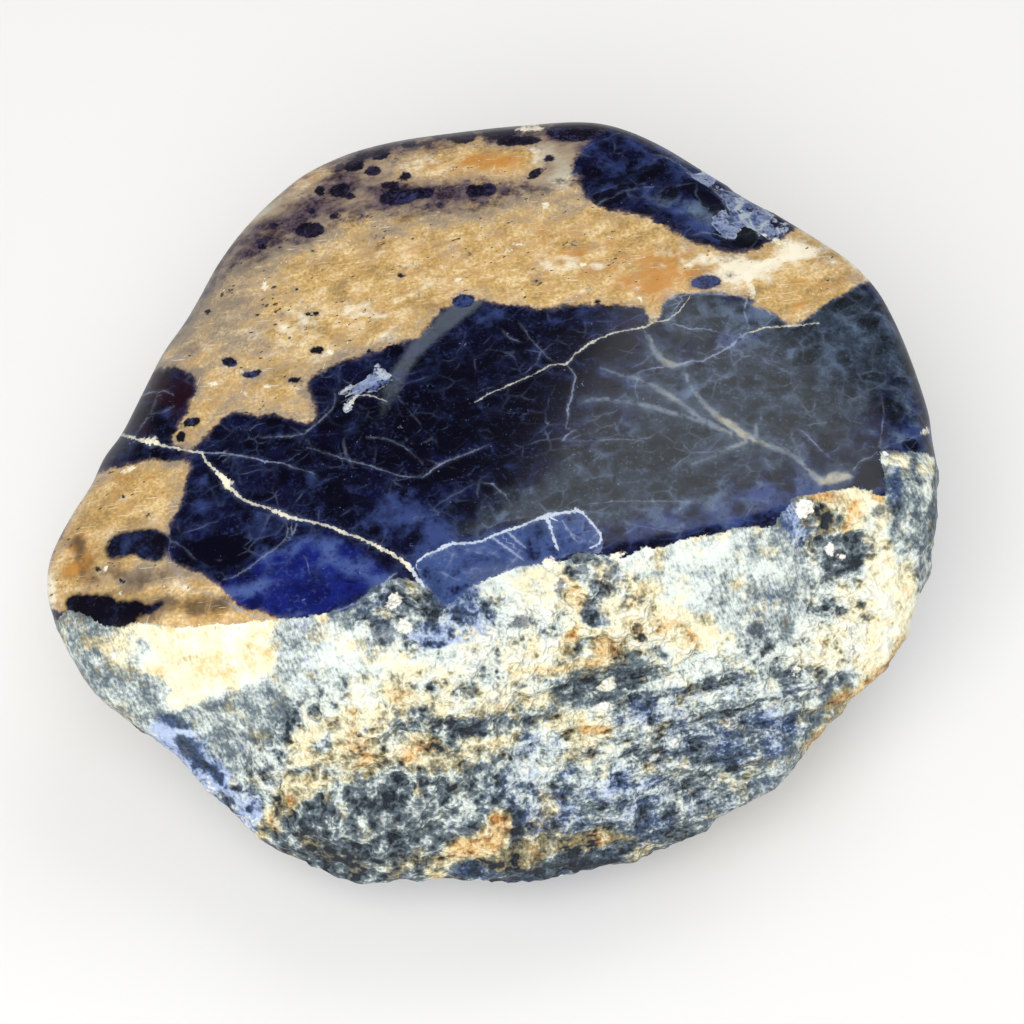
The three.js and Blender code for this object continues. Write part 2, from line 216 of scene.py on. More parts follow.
FINE_VEINS = [
    [(201, 452, 1.1), (212, 453, 1.2), (225, 453, 1.4), (240, 456, 1.3), (255, 458, 1.2),
     (264, 461, 1.5), (275, 462, 1.1), (285, 464, 1), (302, 470, 0.9), (316, 474, 0.5)],
    [(222, 463, 0.5), (228, 457, 0.7), (224, 451, 0.6)],
    [(259, 437, 0.5), (275, 437, 0.7), (290, 436, 0.8), (303, 434, 0.8), (319, 422, 1),
     (327, 414, 0.8), (333, 408, 0.8), (336, 398, 0.7), (334, 388, 0.5)],
    [(306, 447, 0.6), (328, 454, 0.8), (345, 459, 0.8), (360, 463, 0.8), (385, 471, 0.9),
     (400, 476, 0.8), (420, 478, 0.5)],
    [(365, 437, 0.4), (378, 438, 0.6), (390, 440, 0.7), (403, 446, 0.7), (413, 454, 0.6),
     (424, 465, 0.4)],
    [(284, 520, 0.8), (288, 527, 0.9), (287, 536, 0.9), (281, 544, 0.9), (275, 549, 0.9),
     (262, 557, 1), (250, 567, 0.9), (236, 576, 0.8), (222, 580, 0.6)],
    [(297, 522, 0.8), (294, 532, 1), (289, 540, 0.9), (285, 545, 0.5)],
    [(420, 479, 0.6), (428, 474, 1.1), (435, 468, 1.3), (443, 463, 1.3), (452, 459, 1.2),
     (465, 455, 1), (480, 448, 0.7), (492, 444, 0.4)],
    [(567, 366, 1), (573, 372, 1.2), (576, 377, 1.4), (573, 386, 1.2), (572, 397, 1.4),
     (568, 405, 1.4), (568, 417, 1.1), (566, 430, 0.9)],
    [(562, 441, 1.1), (568, 434, 1.5), (577, 429, 1)],
    [(566, 441, 0.4), (594, 441, 0.7), (620, 439, 0.8), (646, 441, 0.4)],
    [(747, 332, 1.6), (741, 338, 1.5), (735, 343, 1.7), (725, 350, 1.2), (712, 356, 1.2),
     (702, 362, 1.2), (694, 361, 1), (685, 363, 1.3), (672, 366, 0.9), (655, 368, 0.9),
     (640, 371, 0.9), (630, 378, 0.9)],
    [(672, 323, 0.9), (690, 329, 1), (706, 329, 0.8), (726, 334, 0.9), (740, 339, 0.7)],
    [(640, 376, 0.6), (635, 386, 0.9), (637, 396, 0.9), (638, 406, 0.6)],
    [(853, 471, 0.7), (860, 461, 0.8), (873, 456, 0.8), (880, 450, 0.8), (893, 444, 0.8),
     (905, 440, 0.8), (918, 436, 0.7), (929, 430, 0.6)],
    [(794, 425, 0.6), (808, 436, 0.9), (820, 449, 0.8), (832, 460, 0.6)],
    [(490, 536, 1.4), (503, 545, 1.8), (515, 554, 1.6), (524, 561, 1)],
    [(508, 532, 1.6), (516, 540, 1.8), (526, 548, 1.2)],
    [(562, 520, 1.2), (570, 532, 1.5), (578, 544, 1)],
    [(562, 528, 0.4), (575, 534, 0.6), (588, 544, 0.7), (601, 552, 0.5)],
    [(485, 529, 0.5), (497, 524, 0.9), (507, 520, 0.8), (522, 517, 0.8), (538, 516, 0.6)],
    [(398, 572, 0.8), (390, 577, 1.7), (383, 585, 1.9), (374, 593, 1.7), (362, 601, 1.5),
     (348, 607, 1.3), (330, 613, 1)],
    [(180, 583, 0.6), (193, 588, 0.9), (205, 592, 0.9), (222, 600, 0.9), (236, 608, 1.3),
     (252, 616, 1), (275, 621, 0.8)],
    [(163, 530, 0.6), (171, 540, 0.9), (168, 552, 0.9), (173, 566, 0.8), (183, 580, 0.9)],
    [(171, 540, 0.7), (184, 548, 0.7), (196, 560, 0.6)],
    [(149, 367, 0.9), (156, 362, 1), (162, 360, 0.8), (178, 357, 0.8), (190, 360, 0.7)],
    [(134, 399, 0.8), (150, 392, 0.9), (165, 391, 0.9), (174, 395, 0.6)],
    [(158, 391, 0.7), (155, 402, 0.7), (149, 415, 0.8), (140, 428, 0.8), (134, 437, 0.8)],
    [(149, 415, 0.7), (165, 412, 0.7), (176, 404, 0.5)],
    [(597, 206, 0.7), (603, 200, 0.9), (612, 198, 0.9), (620, 192, 0.6), (644, 187, 0.4)],
    [(683, 168, 0.8), (690, 171, 0.9), (697, 174, 0.8), (705, 179, 1.3), (711, 184, 1),
     (716, 192, 0.9), (722, 200, 0.7), (731, 213, 0.8)],
    [(704, 181, 0.6), (722, 196, 0.9), (735, 200, 0.8), (750, 200, 0.9), (760, 206, 0.8)],
    [(684, 236, 0.5), (697, 234, 0.8), (706, 232, 0.8), (722, 236, 0.9), (735, 240, 0.7)],
    [(741, 224, 0.6), (749, 224, 0.9), (755, 230, 0.8), (762, 237, 0.8)],
    [(668, 300, 1), (680, 296, 1), (693, 293, 1), (720, 294, 1), (748, 297, 1.1)],
    [(581, 505, 0.4), (612, 501, 0.7), (664, 501, 0.6), (706, 503, 0.4)],
    [(497, 326, 0.6), (510, 338, 0.7), (526, 344, 0.5)],
    [(518, 321, 0.4), (530, 338, 0.7), (547, 357, 0.7), (556, 363, 0.5)],
    [(470, 480, 0.4), (492, 484, 0.8), (506, 496, 0.9), (512, 506, 0.5)],
    [(881, 392, 0.5), (884, 410, 0.8), (882, 430, 0.8), (879, 448, 0.8)],
    [(671, 327, 0.6), (672, 312, 0.9), (681, 301, 1), (692, 296, 1)],
    [(749, 297, 1), (744, 308, 1.1), (746, 320, 1), (750, 330, 0.8)],
    [(899, 304, 0.4), (912, 335, 0.8), (922, 368, 0.8), (929, 402, 0.7)],
    [(640, 150, 0.4), (668, 158, 0.7), (690, 171, 0.6)],
    [(300, 546, 0.5), (306, 560, 0.8), (311, 578, 0.6)],
]
TINTED_VEINS = [
    [(645, 328, 0.8), (650, 342, 1.6), (655, 352, 2.2), (662, 360, 3), (672, 365, 3.2),
     (682, 365, 1.8), (693, 361, 0.8)],
    [(684, 372, 1), (690, 385, 1.3), (697, 396, 1.8), (708, 408, 2.4), (720, 418, 3.4),
     (731, 426, 4.2), (741, 433, 4.6), (750, 438, 3.4), (762, 443, 2.4), (775, 448, 2),
     (788, 452, 1.8), (797, 458, 1.8), (806, 468, 2), (816, 478, 3), (824, 482, 4.4),
     (835, 478, 5.4), (846, 476, 4), (853, 477, 2)],
    [(600, 368, 0.6), (625, 376, 0.9), (640, 380, 1), (650, 384, 1.4), (662, 391, 2.1),
     (672, 398, 2.6), (680, 402, 2), (690, 410, 1.8), (702, 420, 1.9), (718, 428, 2.2),
     (733, 434, 2.4)],
    [(577, 403, 0.6), (590, 400, 0.9), (605, 399, 1), (625, 402, 1.1), (650, 406, 1.4),
     (670, 412, 1.5), (690, 418, 1.5), (706, 424, 1.3)],
    [(748, 441, 2.4), (736, 446, 2), (724, 451, 1.7), (708, 458, 1.2), (690, 465, 0.6)],
    [(757, 438, 1.3), (756, 428, 1.6), (761, 418, 1), (759, 410, 0.5)],
]
# A broad greyed band, laid out like a vein.
STEEL_BAND = [
    (478, 299, 6), (462, 309, 8), (445, 322, 8.5), (430, 335, 8), (415, 350, 7.5), (405, 365, 8),
    (397, 378, 8), (390, 393, 8), (384, 408, 6), (378, 422, 4), (371, 436, 2),
]

# White marks: middle, half size and turn.
WHITE_MARKS = [
    ((153, 440), (6, 3), 15), ((395, 602), (9, 7), 40), ((405, 627), (7, 8), 20),
    ((829, 548), (5, 6), 0), ((842, 556), (3, 3), 0), ((803, 509), (7, 10), -20),
    ((228, 483), (6, 3), 50), ((797, 252), (5, 9), 0), ((784, 258), (13, 3.6), 14),
    ((762, 265), (11, 4), 24), ((748, 276), (5, 9), -18), ((772, 239), (12, 2.6), -20),
    ((790, 245), (10, 3), -10), ((752, 291), (3.4, 8), 8), ((104, 569), (3, 3), 0),
    ((213, 384), (3.4, 2), 0), ((122, 594), (3, 2.4), 0), ((266, 386), (5, 1.6), 8),
    ((247, 394), (3, 1.4), 0), ((458, 280), (5, 2.4), 0), ((265, 287), (3, 4), 0),
    ((507, 252), (5, 1.6), 30), ((522, 259), (4, 1.6), -20), ((368, 217), (2, 4), 10),
    ((546, 205), (4, 3), -20), ((520, 244), (6, 1.4), 0), ((580, 265), (6, 2.4), 0),
    ((637, 284), (2, 6), 0), ((640, 300), (1.6, 4), 0), ((238, 372), (4, 1.6), 10),
    ((330, 352), (3, 1.4), 0), ((530, 128), (14, 3), 2), ((549, 562), (8, 5), 0),
    ((931, 395), (2, 6), 10), ((922, 358), (2, 5), 15), ((127, 470), (9, 3), 12),
    ((925, 432), (5, 3), 30), ((885, 455), (5, 3), 0), ((648, 552), (5, 6), 20),
    ((618, 555), (9, 3), 20), ((798, 676), (1.4, 22), 2), ((608, 682), (6, 3), 10),
    ((603, 706), (8, 3), 8),
]
# Grey knobs with light rims in the ground bevel.
KNOBS = [
    ((582, 570), (8, 6), 0), ((613, 573), (10, 7), 45), ((604, 592), (7, 7), 0),
    ((590, 614), (9, 13), 10), ((384, 632), (14, 14), 0), ((431, 606), (8, 22), 10),
    ((842, 612), (8, 6), 0), ((880, 511), (8, 7), 0), ((756, 630), (12, 8), 0),
    ((640, 601), (5, 5), 0), ((645, 640), (5, 4), 0), ((520, 622), (12, 7), 20),
    ((560, 588), (5, 9), 0), ((868, 620), (6, 5), 0),
]

# Soft patches of colour: middle, half size, turn and strength.
CLOUDED = [
    ((292, 550), (26, 9), 20, 1.3), ((246, 588), (28, 8), 10, 1.0), ((345, 566), (22, 7), -20, 0.9),
    ((376, 590), (14, 10), 30, 1.4), ((310, 613), (44, 3), 4, 1.3), ((690, 165), (50, 9), -38, 1.2),
    ((400, 515), (34, 22), 0, 0.6), ((470, 560), (46, 26), 25, 0.7),
    ((520, 545), (70, 20), 18, 0.6), ((340, 490), (60, 12), -12, 0.6),
    ((250, 530), (24, 16), 0, 0.6), ((590, 322), (50, 10), 0, 0.7), ((500, 318), (30, 8), 0, 0.6),
    ((165, 412), (10, 8), 0, 1.0), ((740, 505), (100, 22), 6, 0.9),
    ((640, 160), (50, 24), -25, 0.4), ((640, 205), (34, 10), -12, 0.5),
    ((905, 390), (22, 70), 8, 0.7), ((905, 440), (20, 14), 0, 0.8), ((200, 510), (14, 14), 0, 0.9),
    ((300, 428), (50, 9), 8, 0.6), ((600, 470), (40, 24), 0, 0.4), ((628, 425), (9, 14), 20, 1.0),
    ((810, 500), (16, 14), 0, 1.0), ((700, 312), (60, 16), 0, 0.5), ((770, 315), (30, 10), 8, 0.7),
    ((754, 312), (8, 20), 4, 1.6), ((742, 334), (14, 6), 40, 1.2), ((355, 570), (40, 14), 0, 0.8),
    ((800, 460), (40, 14), 24, 0.8), ((770, 345), (50, 8), 4, 0.7), ((692, 392), (14, 12), 40, 1.0),
    ((400, 600), (30, 10), 0, 0.8), ((575, 440), (40, 8), 0, 0.7), ((740, 200), (50, 20), -30, 0.7),
    ((440, 540), (20, 30), 40, 0.6), ((730, 335), (30, 8), 0, 0.8), ((200, 485), (18, 8), 0, 0.8),
    ((560, 330), (24, 14), 0, 0.4), ((730, 430), (60, 12), -35, 0.4),
    ((690, 518), (110, 15), 6, 1.2), ((430, 530), (34, 20), 0, 0.6),
    ((700, 216), (46, 14), -20, 1.0), ((610, 160), (30, 20), 0, 0.4),
    ((560, 470), (50, 12), 0, 0.3), ((470, 545), (40, 22), 20, 0.5),
    ((660, 200), (60, 12), -22, 0.5), ((835, 350), (50, 40), 0, 0.8),
    ((328, 546), (26, 10), -10, 1.2), ((300, 450), (34, 18), 10, 0.5),
    ((384, 512), (30, 13), 20, 1.0), ((240, 590), (30, 5), 20, 0.8),
    ((700, 220), (30, 10), -24, 0.6),
]
# Greyed sodalite, and also a painted reflection: a grey haze over the right of the polished face.
STEEL_SHEEN = [
    ((760, 400), (150, 90), 0, 1.0), ((640, 470), (100, 62), 10, 0.9),
    ((560, 510), (90, 30), 10, 0.9), ((835, 345), (60, 60), 0, 1.3), ((700, 312), (60, 20), 0, 0.9),
    ((750, 225), (40, 14), -25, 0.8), ((465, 300), (20, 12), 0, 0.9),
    ((703, 281), (24, 10), 0, 0.9), ((640, 190), (70, 30), -15, 0.15),
    ((600, 390), (50, 26), 0, 0.2), ((480, 490), (36, 22), 25, 0.45),
    ((900, 400), (14, 60), 0, 0.3), ((250, 375), (40, 14), 0, 0.7), ((200, 430), (14, 12), 0, 0.5),
    ((412, 197), (16, 8), 8, 0.8), ((136, 544), (34, 16), 0, 0.5), ((120, 610), (50, 10), 0, 0.3),
    ((700, 216), (50, 16), -22, 0.7),
]
DARKEST = [
    ((520, 350), (100, 40), 12, 1.0), ((430, 440), (110, 60), 10, 1.0),
    ((260, 435), (60, 22), 0, 0.9), ((540, 420), (60, 40), 0, 0.8), ((370, 420), (50, 40), 0, 0.9),
    ((170, 385), (26, 22), 0, 0.8), ((640, 180), (60, 24), -15, 0.6),
    ((225, 552), (32, 16), -10, 1.2), ((340, 470), (60, 16), 0, 0.5),
    ((620, 355), (40, 12), -8, 0.9), ((290, 490), (40, 14), 0, 0.6), ((640, 460), (70, 34), 0, 0.7),
    ((190, 560), (14, 10), 0, 0.9), ((745, 234), (14, 9), 0, 1.2), ((302, 598), (30, 10), 8, 1.2),
    ((322, 572), (14, 7), 0, 0.8), ((225, 594), (12, 6), 0, 0.5), ((700, 338), (14, 8), 0, 0.9),
    ((870, 475), (14, 16), 0, 1.0), ((910, 445), (12, 6), 0, 1.0),
]
# Reddish tint: the sodalite's own, and at the rolled left rim a painted reddish reflection.
REDDENED_AND_REFLECTED = [
    ((170, 390), (34, 38), 20, 1.6), ((140, 430), (16, 12), 0, 0.9), ((165, 602), (20, 8), 0, 0.6),
    ((520, 350), (60, 24), -10, 0.3), ((590, 390), (50, 26), 0, 0.4), ((135, 555), (10, 5), 0, 0.5),
]
ORANGE = [
    ((660, 280), (40, 20), 5, 0.8), ((590, 256), (80, 28), -5, 0.6), ((505, 163), (34, 12), 0, 0.6),
    ((304, 184), (20, 12), 35, 0.9), ((65, 590), (20, 16), 60, 0.3), ((480, 162), (36, 12), 4, 0.8),
    ((800, 310), (26, 14), 20, 0.7), ((430, 250), (90, 24), 0, 0.1), ((215, 619), (50, 6), -3, 0.6),
    ((80, 565), (18, 30), 25, 1.0), ((112, 500), (36, 36), 0, 0.4), ((820, 270), (50, 30), 0, 0.3),
    ((690, 262), (50, 20), 0, 0.4), ((280, 405), (30, 8), 0, 0.3),
]
PALE = [
    ((738, 276), (26, 20), 0, 1.0), ((700, 258), (40, 12), -8, 0.7), ((620, 290), (60, 10), 0, 0.4),
    ((150, 572), (34, 10), 8, 0.1), ((380, 300), (110, 40), 15, 0.3),
    ((795, 246), (26, 10), -20, 0.9), ((290, 335), (100, 26), 8, 0.35),
    ((220, 345), (60, 24), 30, 0.2), ((50, 590), (8, 36), 0, 1.0), ((340, 370), (30, 10), 0, 0.5),
    ((560, 262), (50, 14), 0, 0.4), ((389, 338), (10, 7), 0, 0.8), ((650, 318), (14, 8), 0, 0.8),
    ((180, 585), (12, 5), -20, 0.8), ((760, 266), (40, 8), 18, 0.8), ((45, 600), (10, 12), 0, 0.8),
    ((590, 268), (50, 8), 0, 0.4), ((562, 172), (24, 20), 40, 1.1), ((543, 150), (16, 12), 0, 0.9),
    ((420, 168), (60, 12), 0, 0.5), ((300, 190), (30, 16), 35, 0.5), ((262, 212), (26, 5), 38, 1.1),
    ((255, 285), (40, 14), 35, 0.3), ((820, 262), (50, 24), 0, 0.5), ((880, 275), (20, 20), 0, 0.6),
]
BROWNED = [
    ((160, 602), (26, 9), 6, 1.1), ((210, 606), (44, 11), 8, 1.0), ((130, 590), (30, 8), 4, 0.6),
    ((150, 574), (26, 10), 4, 1.0), ((82, 560), (14, 34), 20, 0.95),
    ((118, 575), (20, 7), -10, 0.6), ((140, 520), (26, 5), -6, 0.5),
    ((560, 150), (26, 10), 20, 0.7), ((100, 520), (14, 10), 0, 0.3), ((420, 240), (60, 6), 6, 0.4),
    ((185, 445), (10, 10), 0, 0.5),
]
# The tan greys off towards the stone's edge.
GREYED = [
    ((190, 330), (60, 60), 50, 0.6), ((330, 280), (150, 50), 20, 0.2),
    ((250, 270), (80, 26), 30, 0.55), ((330, 400), (30, 24), 0, 0.5),
    ((350, 238), (90, 12), 12, 0.3), ((480, 216), (60, 8), 6, 0.4), ((270, 395), (70, 24), 0, 0.45),
    ((560, 200), (50, 20), 0, 0.6), ((180, 455), (16, 14), 0, 0.8), ((140, 578), (50, 14), 6, 1.2),
    ((220, 330), (60, 40), 30, 0.35), ((430, 224), (60, 9), 4, 0.35),
    ((340, 350), (60, 16), 15, 0.4), ((172, 500), (8, 40), 0, 0.6), ((150, 545), (40, 20), 10, 0.4),
]

# Ground and broken stone: soft patches, each with its lightness, blueness and warmth.
# Warmth 0 is grey, 0.5 cream and 1 ochre.
ROUGH_PATCHES = [
    ((85, 655), (26, 40), -30, 0.56, 0.05, 0.2), ((120, 690), (30, 40), -40, 0.58, 0.05, 0.15),
    ((125, 645), (18, 24), 0, 0.74, 0.0, 0.4), ((155, 700), (22, 20), -40, 0.6, 0.25, 0.1),
    ((215, 720), (34, 24), -20, 0.58, 0.15, 0.1), ((255, 745), (34, 30), 0, 0.65, 0.2, 0.05),
    ((275, 700), (30, 26), 0, 0.66, 0.15, 0.1), ((290, 650), (26, 26), 0, 0.7, 0.3, 0.15),
    ((320, 640), (34, 18), 0, 0.74, 0.25, 0.25), ((350, 670), (30, 24), 0, 0.78, 0.2, 0.2),
    ((395, 660), (34, 24), 0, 0.88, 0.2, 0.3), ((415, 690), (40, 22), 0, 0.76, 0.1, 0.4),
    ((365, 690), (30, 14), 0, 0.84, 0.05, 0.5), ((335, 745), (24, 20), 10, 0.66, 0.1, 0.6),
    ((380, 735), (34, 20), 12, 0.62, 0.1, 0.5), ((430, 740), (34, 26), 12, 0.58, 0.1, 0.45),
    ((275, 790), (24, 26), -38, 0.68, 0.1, 0.4), ((300, 815), (24, 20), -38, 0.52, 0.05, 0.45),
    ((240, 800), (20, 16), -38, 0.7, 0.7, 0.0), ((250, 830), (30, 14), -38, 0.5, 0.2, 0.2),
    ((360, 612), (30, 12), 8, 0.48, 0.35, 0.05), ((300, 626), (40, 8), 0, 0.6, 0.3, 0.2),
    ((395, 612), (26, 24), 0, 0.42, 0.2, 0.05), ((430, 612), (20, 26), 0, 0.4, 0.2, 0.1),
    ((455, 600), (26, 20), 0, 0.44, 1.0, 0.0), ((475, 622), (24, 14), 0, 0.62, 0.9, 0.0),
    ((440, 645), (24, 12), 0, 0.84, 0.6, 0.0), ((500, 590), (30, 16), 18, 0.88, 0.1, 0.3),
    ((530, 592), (34, 18), 10, 0.98, 0.0, 0.42), ((490, 640), (40, 26), 6, 0.9, 0.15, 0.3),
    ((550, 620), (26, 26), 0, 0.84, 0.1, 0.3), ((470, 670), (40, 18), 6, 0.82, 0.05, 0.45),
    ((520, 690), (40, 22), 8, 0.78, 0.05, 0.45), ((580, 572), (12, 12), 0, 0.46, 0.2, 0.1),
    ((612, 572), (18, 14), 0, 0.58, 0.15, 0.35), ((600, 590), (16, 12), 0, 0.55, 0.2, 0.3),
    ((588, 620), (13, 18), 0, 0.56, 0.35, 0.0), ((625, 600), (22, 18), 0, 0.8, 0.0, 0.62),
    ((650, 618), (34, 20), 0, 0.86, 0.0, 0.6), ((640, 556), (18, 12), 0, 0.9, 0.0, 0.45),
    ((690, 640), (44, 12), 4, 0.92, 0.0, 0.55), ((615, 640), (26, 14), 0, 0.76, 0.0, 0.6),
    ((700, 575), (36, 34), 0, 0.82, 0.08, 0.1), ((745, 560), (34, 26), 0, 0.74, 0.08, 0.1),
    ((780, 600), (30, 30), 0, 0.52, 0.12, 0.12), ((740, 610), (30, 24), 0, 0.64, 0.12, 0.15),
    ((790, 560), (16, 20), 0, 0.66, 0.3, 0.1), ((815, 600), (20, 26), 0, 0.66, 0.1, 0.2),
    ((775, 640), (30, 8), 0, 0.5, 0.35, 0.1), ((800, 655), (60, 8), 6, 0.84, 0.1, 0.3),
    ((700, 660), (60, 10), 4, 0.74, 0.2, 0.25), ((870, 640), (40, 34), 40, 0.98, 0.0, 0.5),
    ((880, 580), (24, 40), 10, 0.94, 0.0, 0.45), ((855, 600), (16, 30), 20, 0.9, 0.0, 0.45),
    ((905, 620), (20, 34), 20, 0.96, 0.0, 0.5), ((862, 498), (26, 14), 10, 0.86, 0.0, 0.5),
    ((815, 488), (12, 8), 0, 0.66, 0.3, 0.5), ((842, 612), (8, 7), 0, 0.45, 0.0, 0.2),
    ((868, 530), (14, 22), 0, 0.78, 0.0, 0.5), ((905, 480), (16, 30), 0, 0.5, 0.2, 0.1),
    ((900, 540), (14, 26), 0, 0.66, 0.1, 0.3), ((928, 580), (10, 40), 6, 0.62, 0.12, 0.2),
    ((600, 680), (36, 16), 4, 0.36, 0.1, 0.1), ((665, 680), (30, 12), 4, 0.98, 0.1, 0.3),
    ((740, 672), (40, 9), 8, 0.58, 0.3, 0.05), ((800, 690), (50, 12), 12, 0.54, 0.4, 0.05),
    ((735, 695), (40, 10), 10, 0.64, 0.45, 0.05), ((690, 700), (30, 16), 0, 0.68, 0.5, 0.05),
    ((650, 725), (30, 18), 0, 0.5, 0.35, 0.2), ((700, 730), (26, 12), 0, 0.5, 0.4, 0.15),
    ((570, 725), (34, 20), 8, 0.72, 0.1, 0.45), ((540, 755), (30, 16), 6, 0.74, 0.5, 0.1),
    ((590, 760), (34, 16), 6, 0.66, 0.25, 0.3), ((500, 730), (34, 26), 8, 0.56, 0.1, 0.4),
    ((470, 780), (34, 24), 8, 0.5, 0.2, 0.25), ((640, 765), (34, 18), 8, 0.54, 0.45, 0.25),
    ((560, 790), (60, 18), 8, 0.68, 0.62, 0.1), ((620, 800), (50, 18), 12, 0.56, 0.6, 0.1),
    ((500, 810), (40, 14), 8, 0.54, 0.4, 0.15), ((560, 820), (60, 14), 6, 0.48, 0.45, 0.15),
    ((690, 800), (36, 18), 20, 0.56, 0.4, 0.05), ((760, 790), (34, 12), 22, 0.54, 0.3, 0.1),
    ((730, 780), (40, 7), 14, 0.6, 0.1, 0.4), ((640, 835), (50, 14), 16, 0.46, 0.4, 0.05),
    ((580, 870), (60, 14), -4, -0.05, 0.3, 0.15), ((520, 878), (40, 7), 4, 0.3, 0.4, 0.2),
    ((560, 845), (60, 8), 10, 0.5, 0.1, 0.6), ((370, 830), (70, 40), 6, 0.42, 0.1, 0.15),
    ((450, 800), (30, 16), 20, 0.5, 0.25, 0.2), ((440, 840), (20, 14), 30, 0.48, 0.4, 0.2),
    ((390, 884), (40, 7), 8, 0.44, 0.0, 0.7), ((310, 850), (30, 8), -40, 0.46, 0.1, 0.5),
]
# Between the patches the stone tends to these values, with this weight.
BETWEEN_PATCHES = (0.42, 0.3, 0.25)
BETWEEN_WEIGHT = 0.02
# Small spots on the ground and broken stone: middle, half size, turn and the same values.
ROUGH_SPOTS = [
    ((577, 600), (7, 14), 0, 0.72, 0.0, 0.85), ((588, 637), (18, 6), 10, 0.66, 0.0, 0.85),
    ((560, 666), (36, 5), 6, 0.66, 0.0, 0.8), ((603, 648), (8, 10), 0, 0.7, 0.0, 0.9),
    ((325, 617), (6, 5), 0, 0.85, 0.0, 0.7), ((596, 728), (12, 5), 4, 0.7, 0.0, 0.95),
    ((824, 495), (12, 3.4), 8, 0.66, 0.0, 1.0), ((851, 520), (6, 9), -30, 0.6, 0.0, 0.95),
    ((880, 497), (8, 5), -20, 0.7, 0.0, 0.9), ((658, 627), (16, 8), 0, 0.86, 0.0, 0.75),
    ((372, 772), (18, 6), 20, 0.8, 0.0, 0.8), ((502, 820), (8, 8), 20, 0.5, 0.0, 0.95),
    ((480, 725), (30, 10), 10, 0.34, 0.3, 0.1), ((315, 815), (18, 14), -30, 0.28, 0.2, 0.1),
    ((455, 812), (24, 12), 30, 0.56, 0.3, 0.05), ((500, 782), (26, 12), 6, 0.7, 0.5, 0.0),
    ((272, 722), (22, 15), 0, 0.48, 0.15, 0.1), ((530, 868), (50, 7), 3, 0.3, 0.4, 0.1),
    ((592, 865), (44, 10), -4, 0.22, 0.35, 0.1), ((476, 871), (26, 4), 0, 0.46, 0.7, 0.0),
    ((610, 682), (8, 4), 8, 0.95, 0.0, 0.4), ((608, 705), (12, 4), 8, 0.92, 0.0, 0.4),
    ((760, 700), (80, 6), 12, 0.32, 0.25, 0.1), ((820, 712), (20, 8), 35, 0.34, 0.2, 0.2),
    ((700, 688), (44, 4), 6, 0.36, 0.3, 0.1), ((838, 700), (14, 5), 40, 0.38, 0.0, 0.9),
    ((640, 700), (16, 10), 0, 0.46, 0.7, 0.0), ((545, 742), (20, 10), 0, 0.8, 0.6, 0.0),
    ((345, 712), (22, 6), 16, 0.9, 0.3, 0.2), ((350, 736), (20, 10), 10, 0.8, 0.0, 0.6),
    ((322, 742), (8, 14), -20, 0.6, 0.5, 0.0), ((420, 720), (20, 12), 0, 0.44, 0.1, 0.2),
    ((440, 635), (26, 10), 0, 0.62, 0.9, 0.0), ((455, 590), (18, 10), 20, 0.5, 1.0, 0.0),
    ((790, 515), (9, 14), 0, 0.7, 0.9, 0.0), ((798, 540), (6, 10), 0, 0.7, 0.9, 0.0),
    ((540, 712), (24, 8), 8, 0.5, 0.2, 0.3), ((660, 672), (14, 6), 0, 0.4, 0.2, 0.1),
    ((400, 700), (18, 8), 0, 0.66, 0.1, 0.55), ((300, 735), (10, 20), -30, 0.7, 0.1, 0.45),
    ((330, 860), (30, 10), -30, 0.34, 0.2, 0.2), ((190, 750), (14, 8), -40, 0.24, 1.0, 0.0),
    ((176, 722), (16, 5), -20, 0.2, 0.8, 0.0), ((215, 775), (16, 4), -50, 0.2, 0.8, 0.0),
    ((205, 740), (12, 5), -50, 0.75, 0.7, 0.0), ((225, 800), (10, 8), -40, 0.66, 0.8, 0.0),
    ((895, 485), (6, 20), 5, 0.46, 0.8, 0.0), ((925, 470), (5, 26), 0, 0.78, 0.0, 0.35),
    ((893, 460), (14, 5), 0, 0.86, 0.0, 0.45),
]
# Ground and broken stone with an edge of its own: outline, softness in millimetres,
# lightness, blueness and warmth.
ROUGH_PLATES = [
    ([(142, 628), (188, 622), (254, 618), (272, 622), (266, 645), (278, 655), (268, 676),
      (245, 686), (228, 690), (215, 697), (190, 704), (168, 709), (169, 690), (160, 676),
      (144, 668), (147, 648)], 0.5, 1.0, 0.0, 0.6),
    ([(156, 722), (178, 716), (205, 740), (222, 765), (236, 790), (262, 812), (250, 832),
      (215, 800), (185, 765), (160, 745)], 0.6, 0.96, 1.0, 0.0),
    ([(288, 812), (305, 792), (345, 780), (385, 770), (425, 770), (444, 780), (446, 815),
      (438, 845), (428, 875), (385, 900), (335, 890), (300, 850)], 1.0, 0.47, 0.1, 0.15),
    ([(704, 752), (716, 734), (745, 720), (785, 714), (802, 722), (797, 742), (772, 758),
      (740, 770), (712, 768)], 0.8, 0.4, 0.65, 0.0),
    ([(550, 692), (570, 670), (612, 662), (648, 656), (652, 668), (640, 686), (610, 702),
      (572, 706)], 0.6, 0.24, 0.1, 0.15),
    ([(797, 520), (808, 500), (832, 504), (850, 520), (864, 546), (860, 568), (836, 577),
      (812, 562), (800, 542)], 0.5, 0.18, 0.1, 0.15),
    ([(880, 453), (900, 450), (945, 452), (950, 520), (942, 556), (922, 548), (906, 530),
      (893, 505), (886, 480)], 0.5, 0.44, 0.2, 0.15),
]
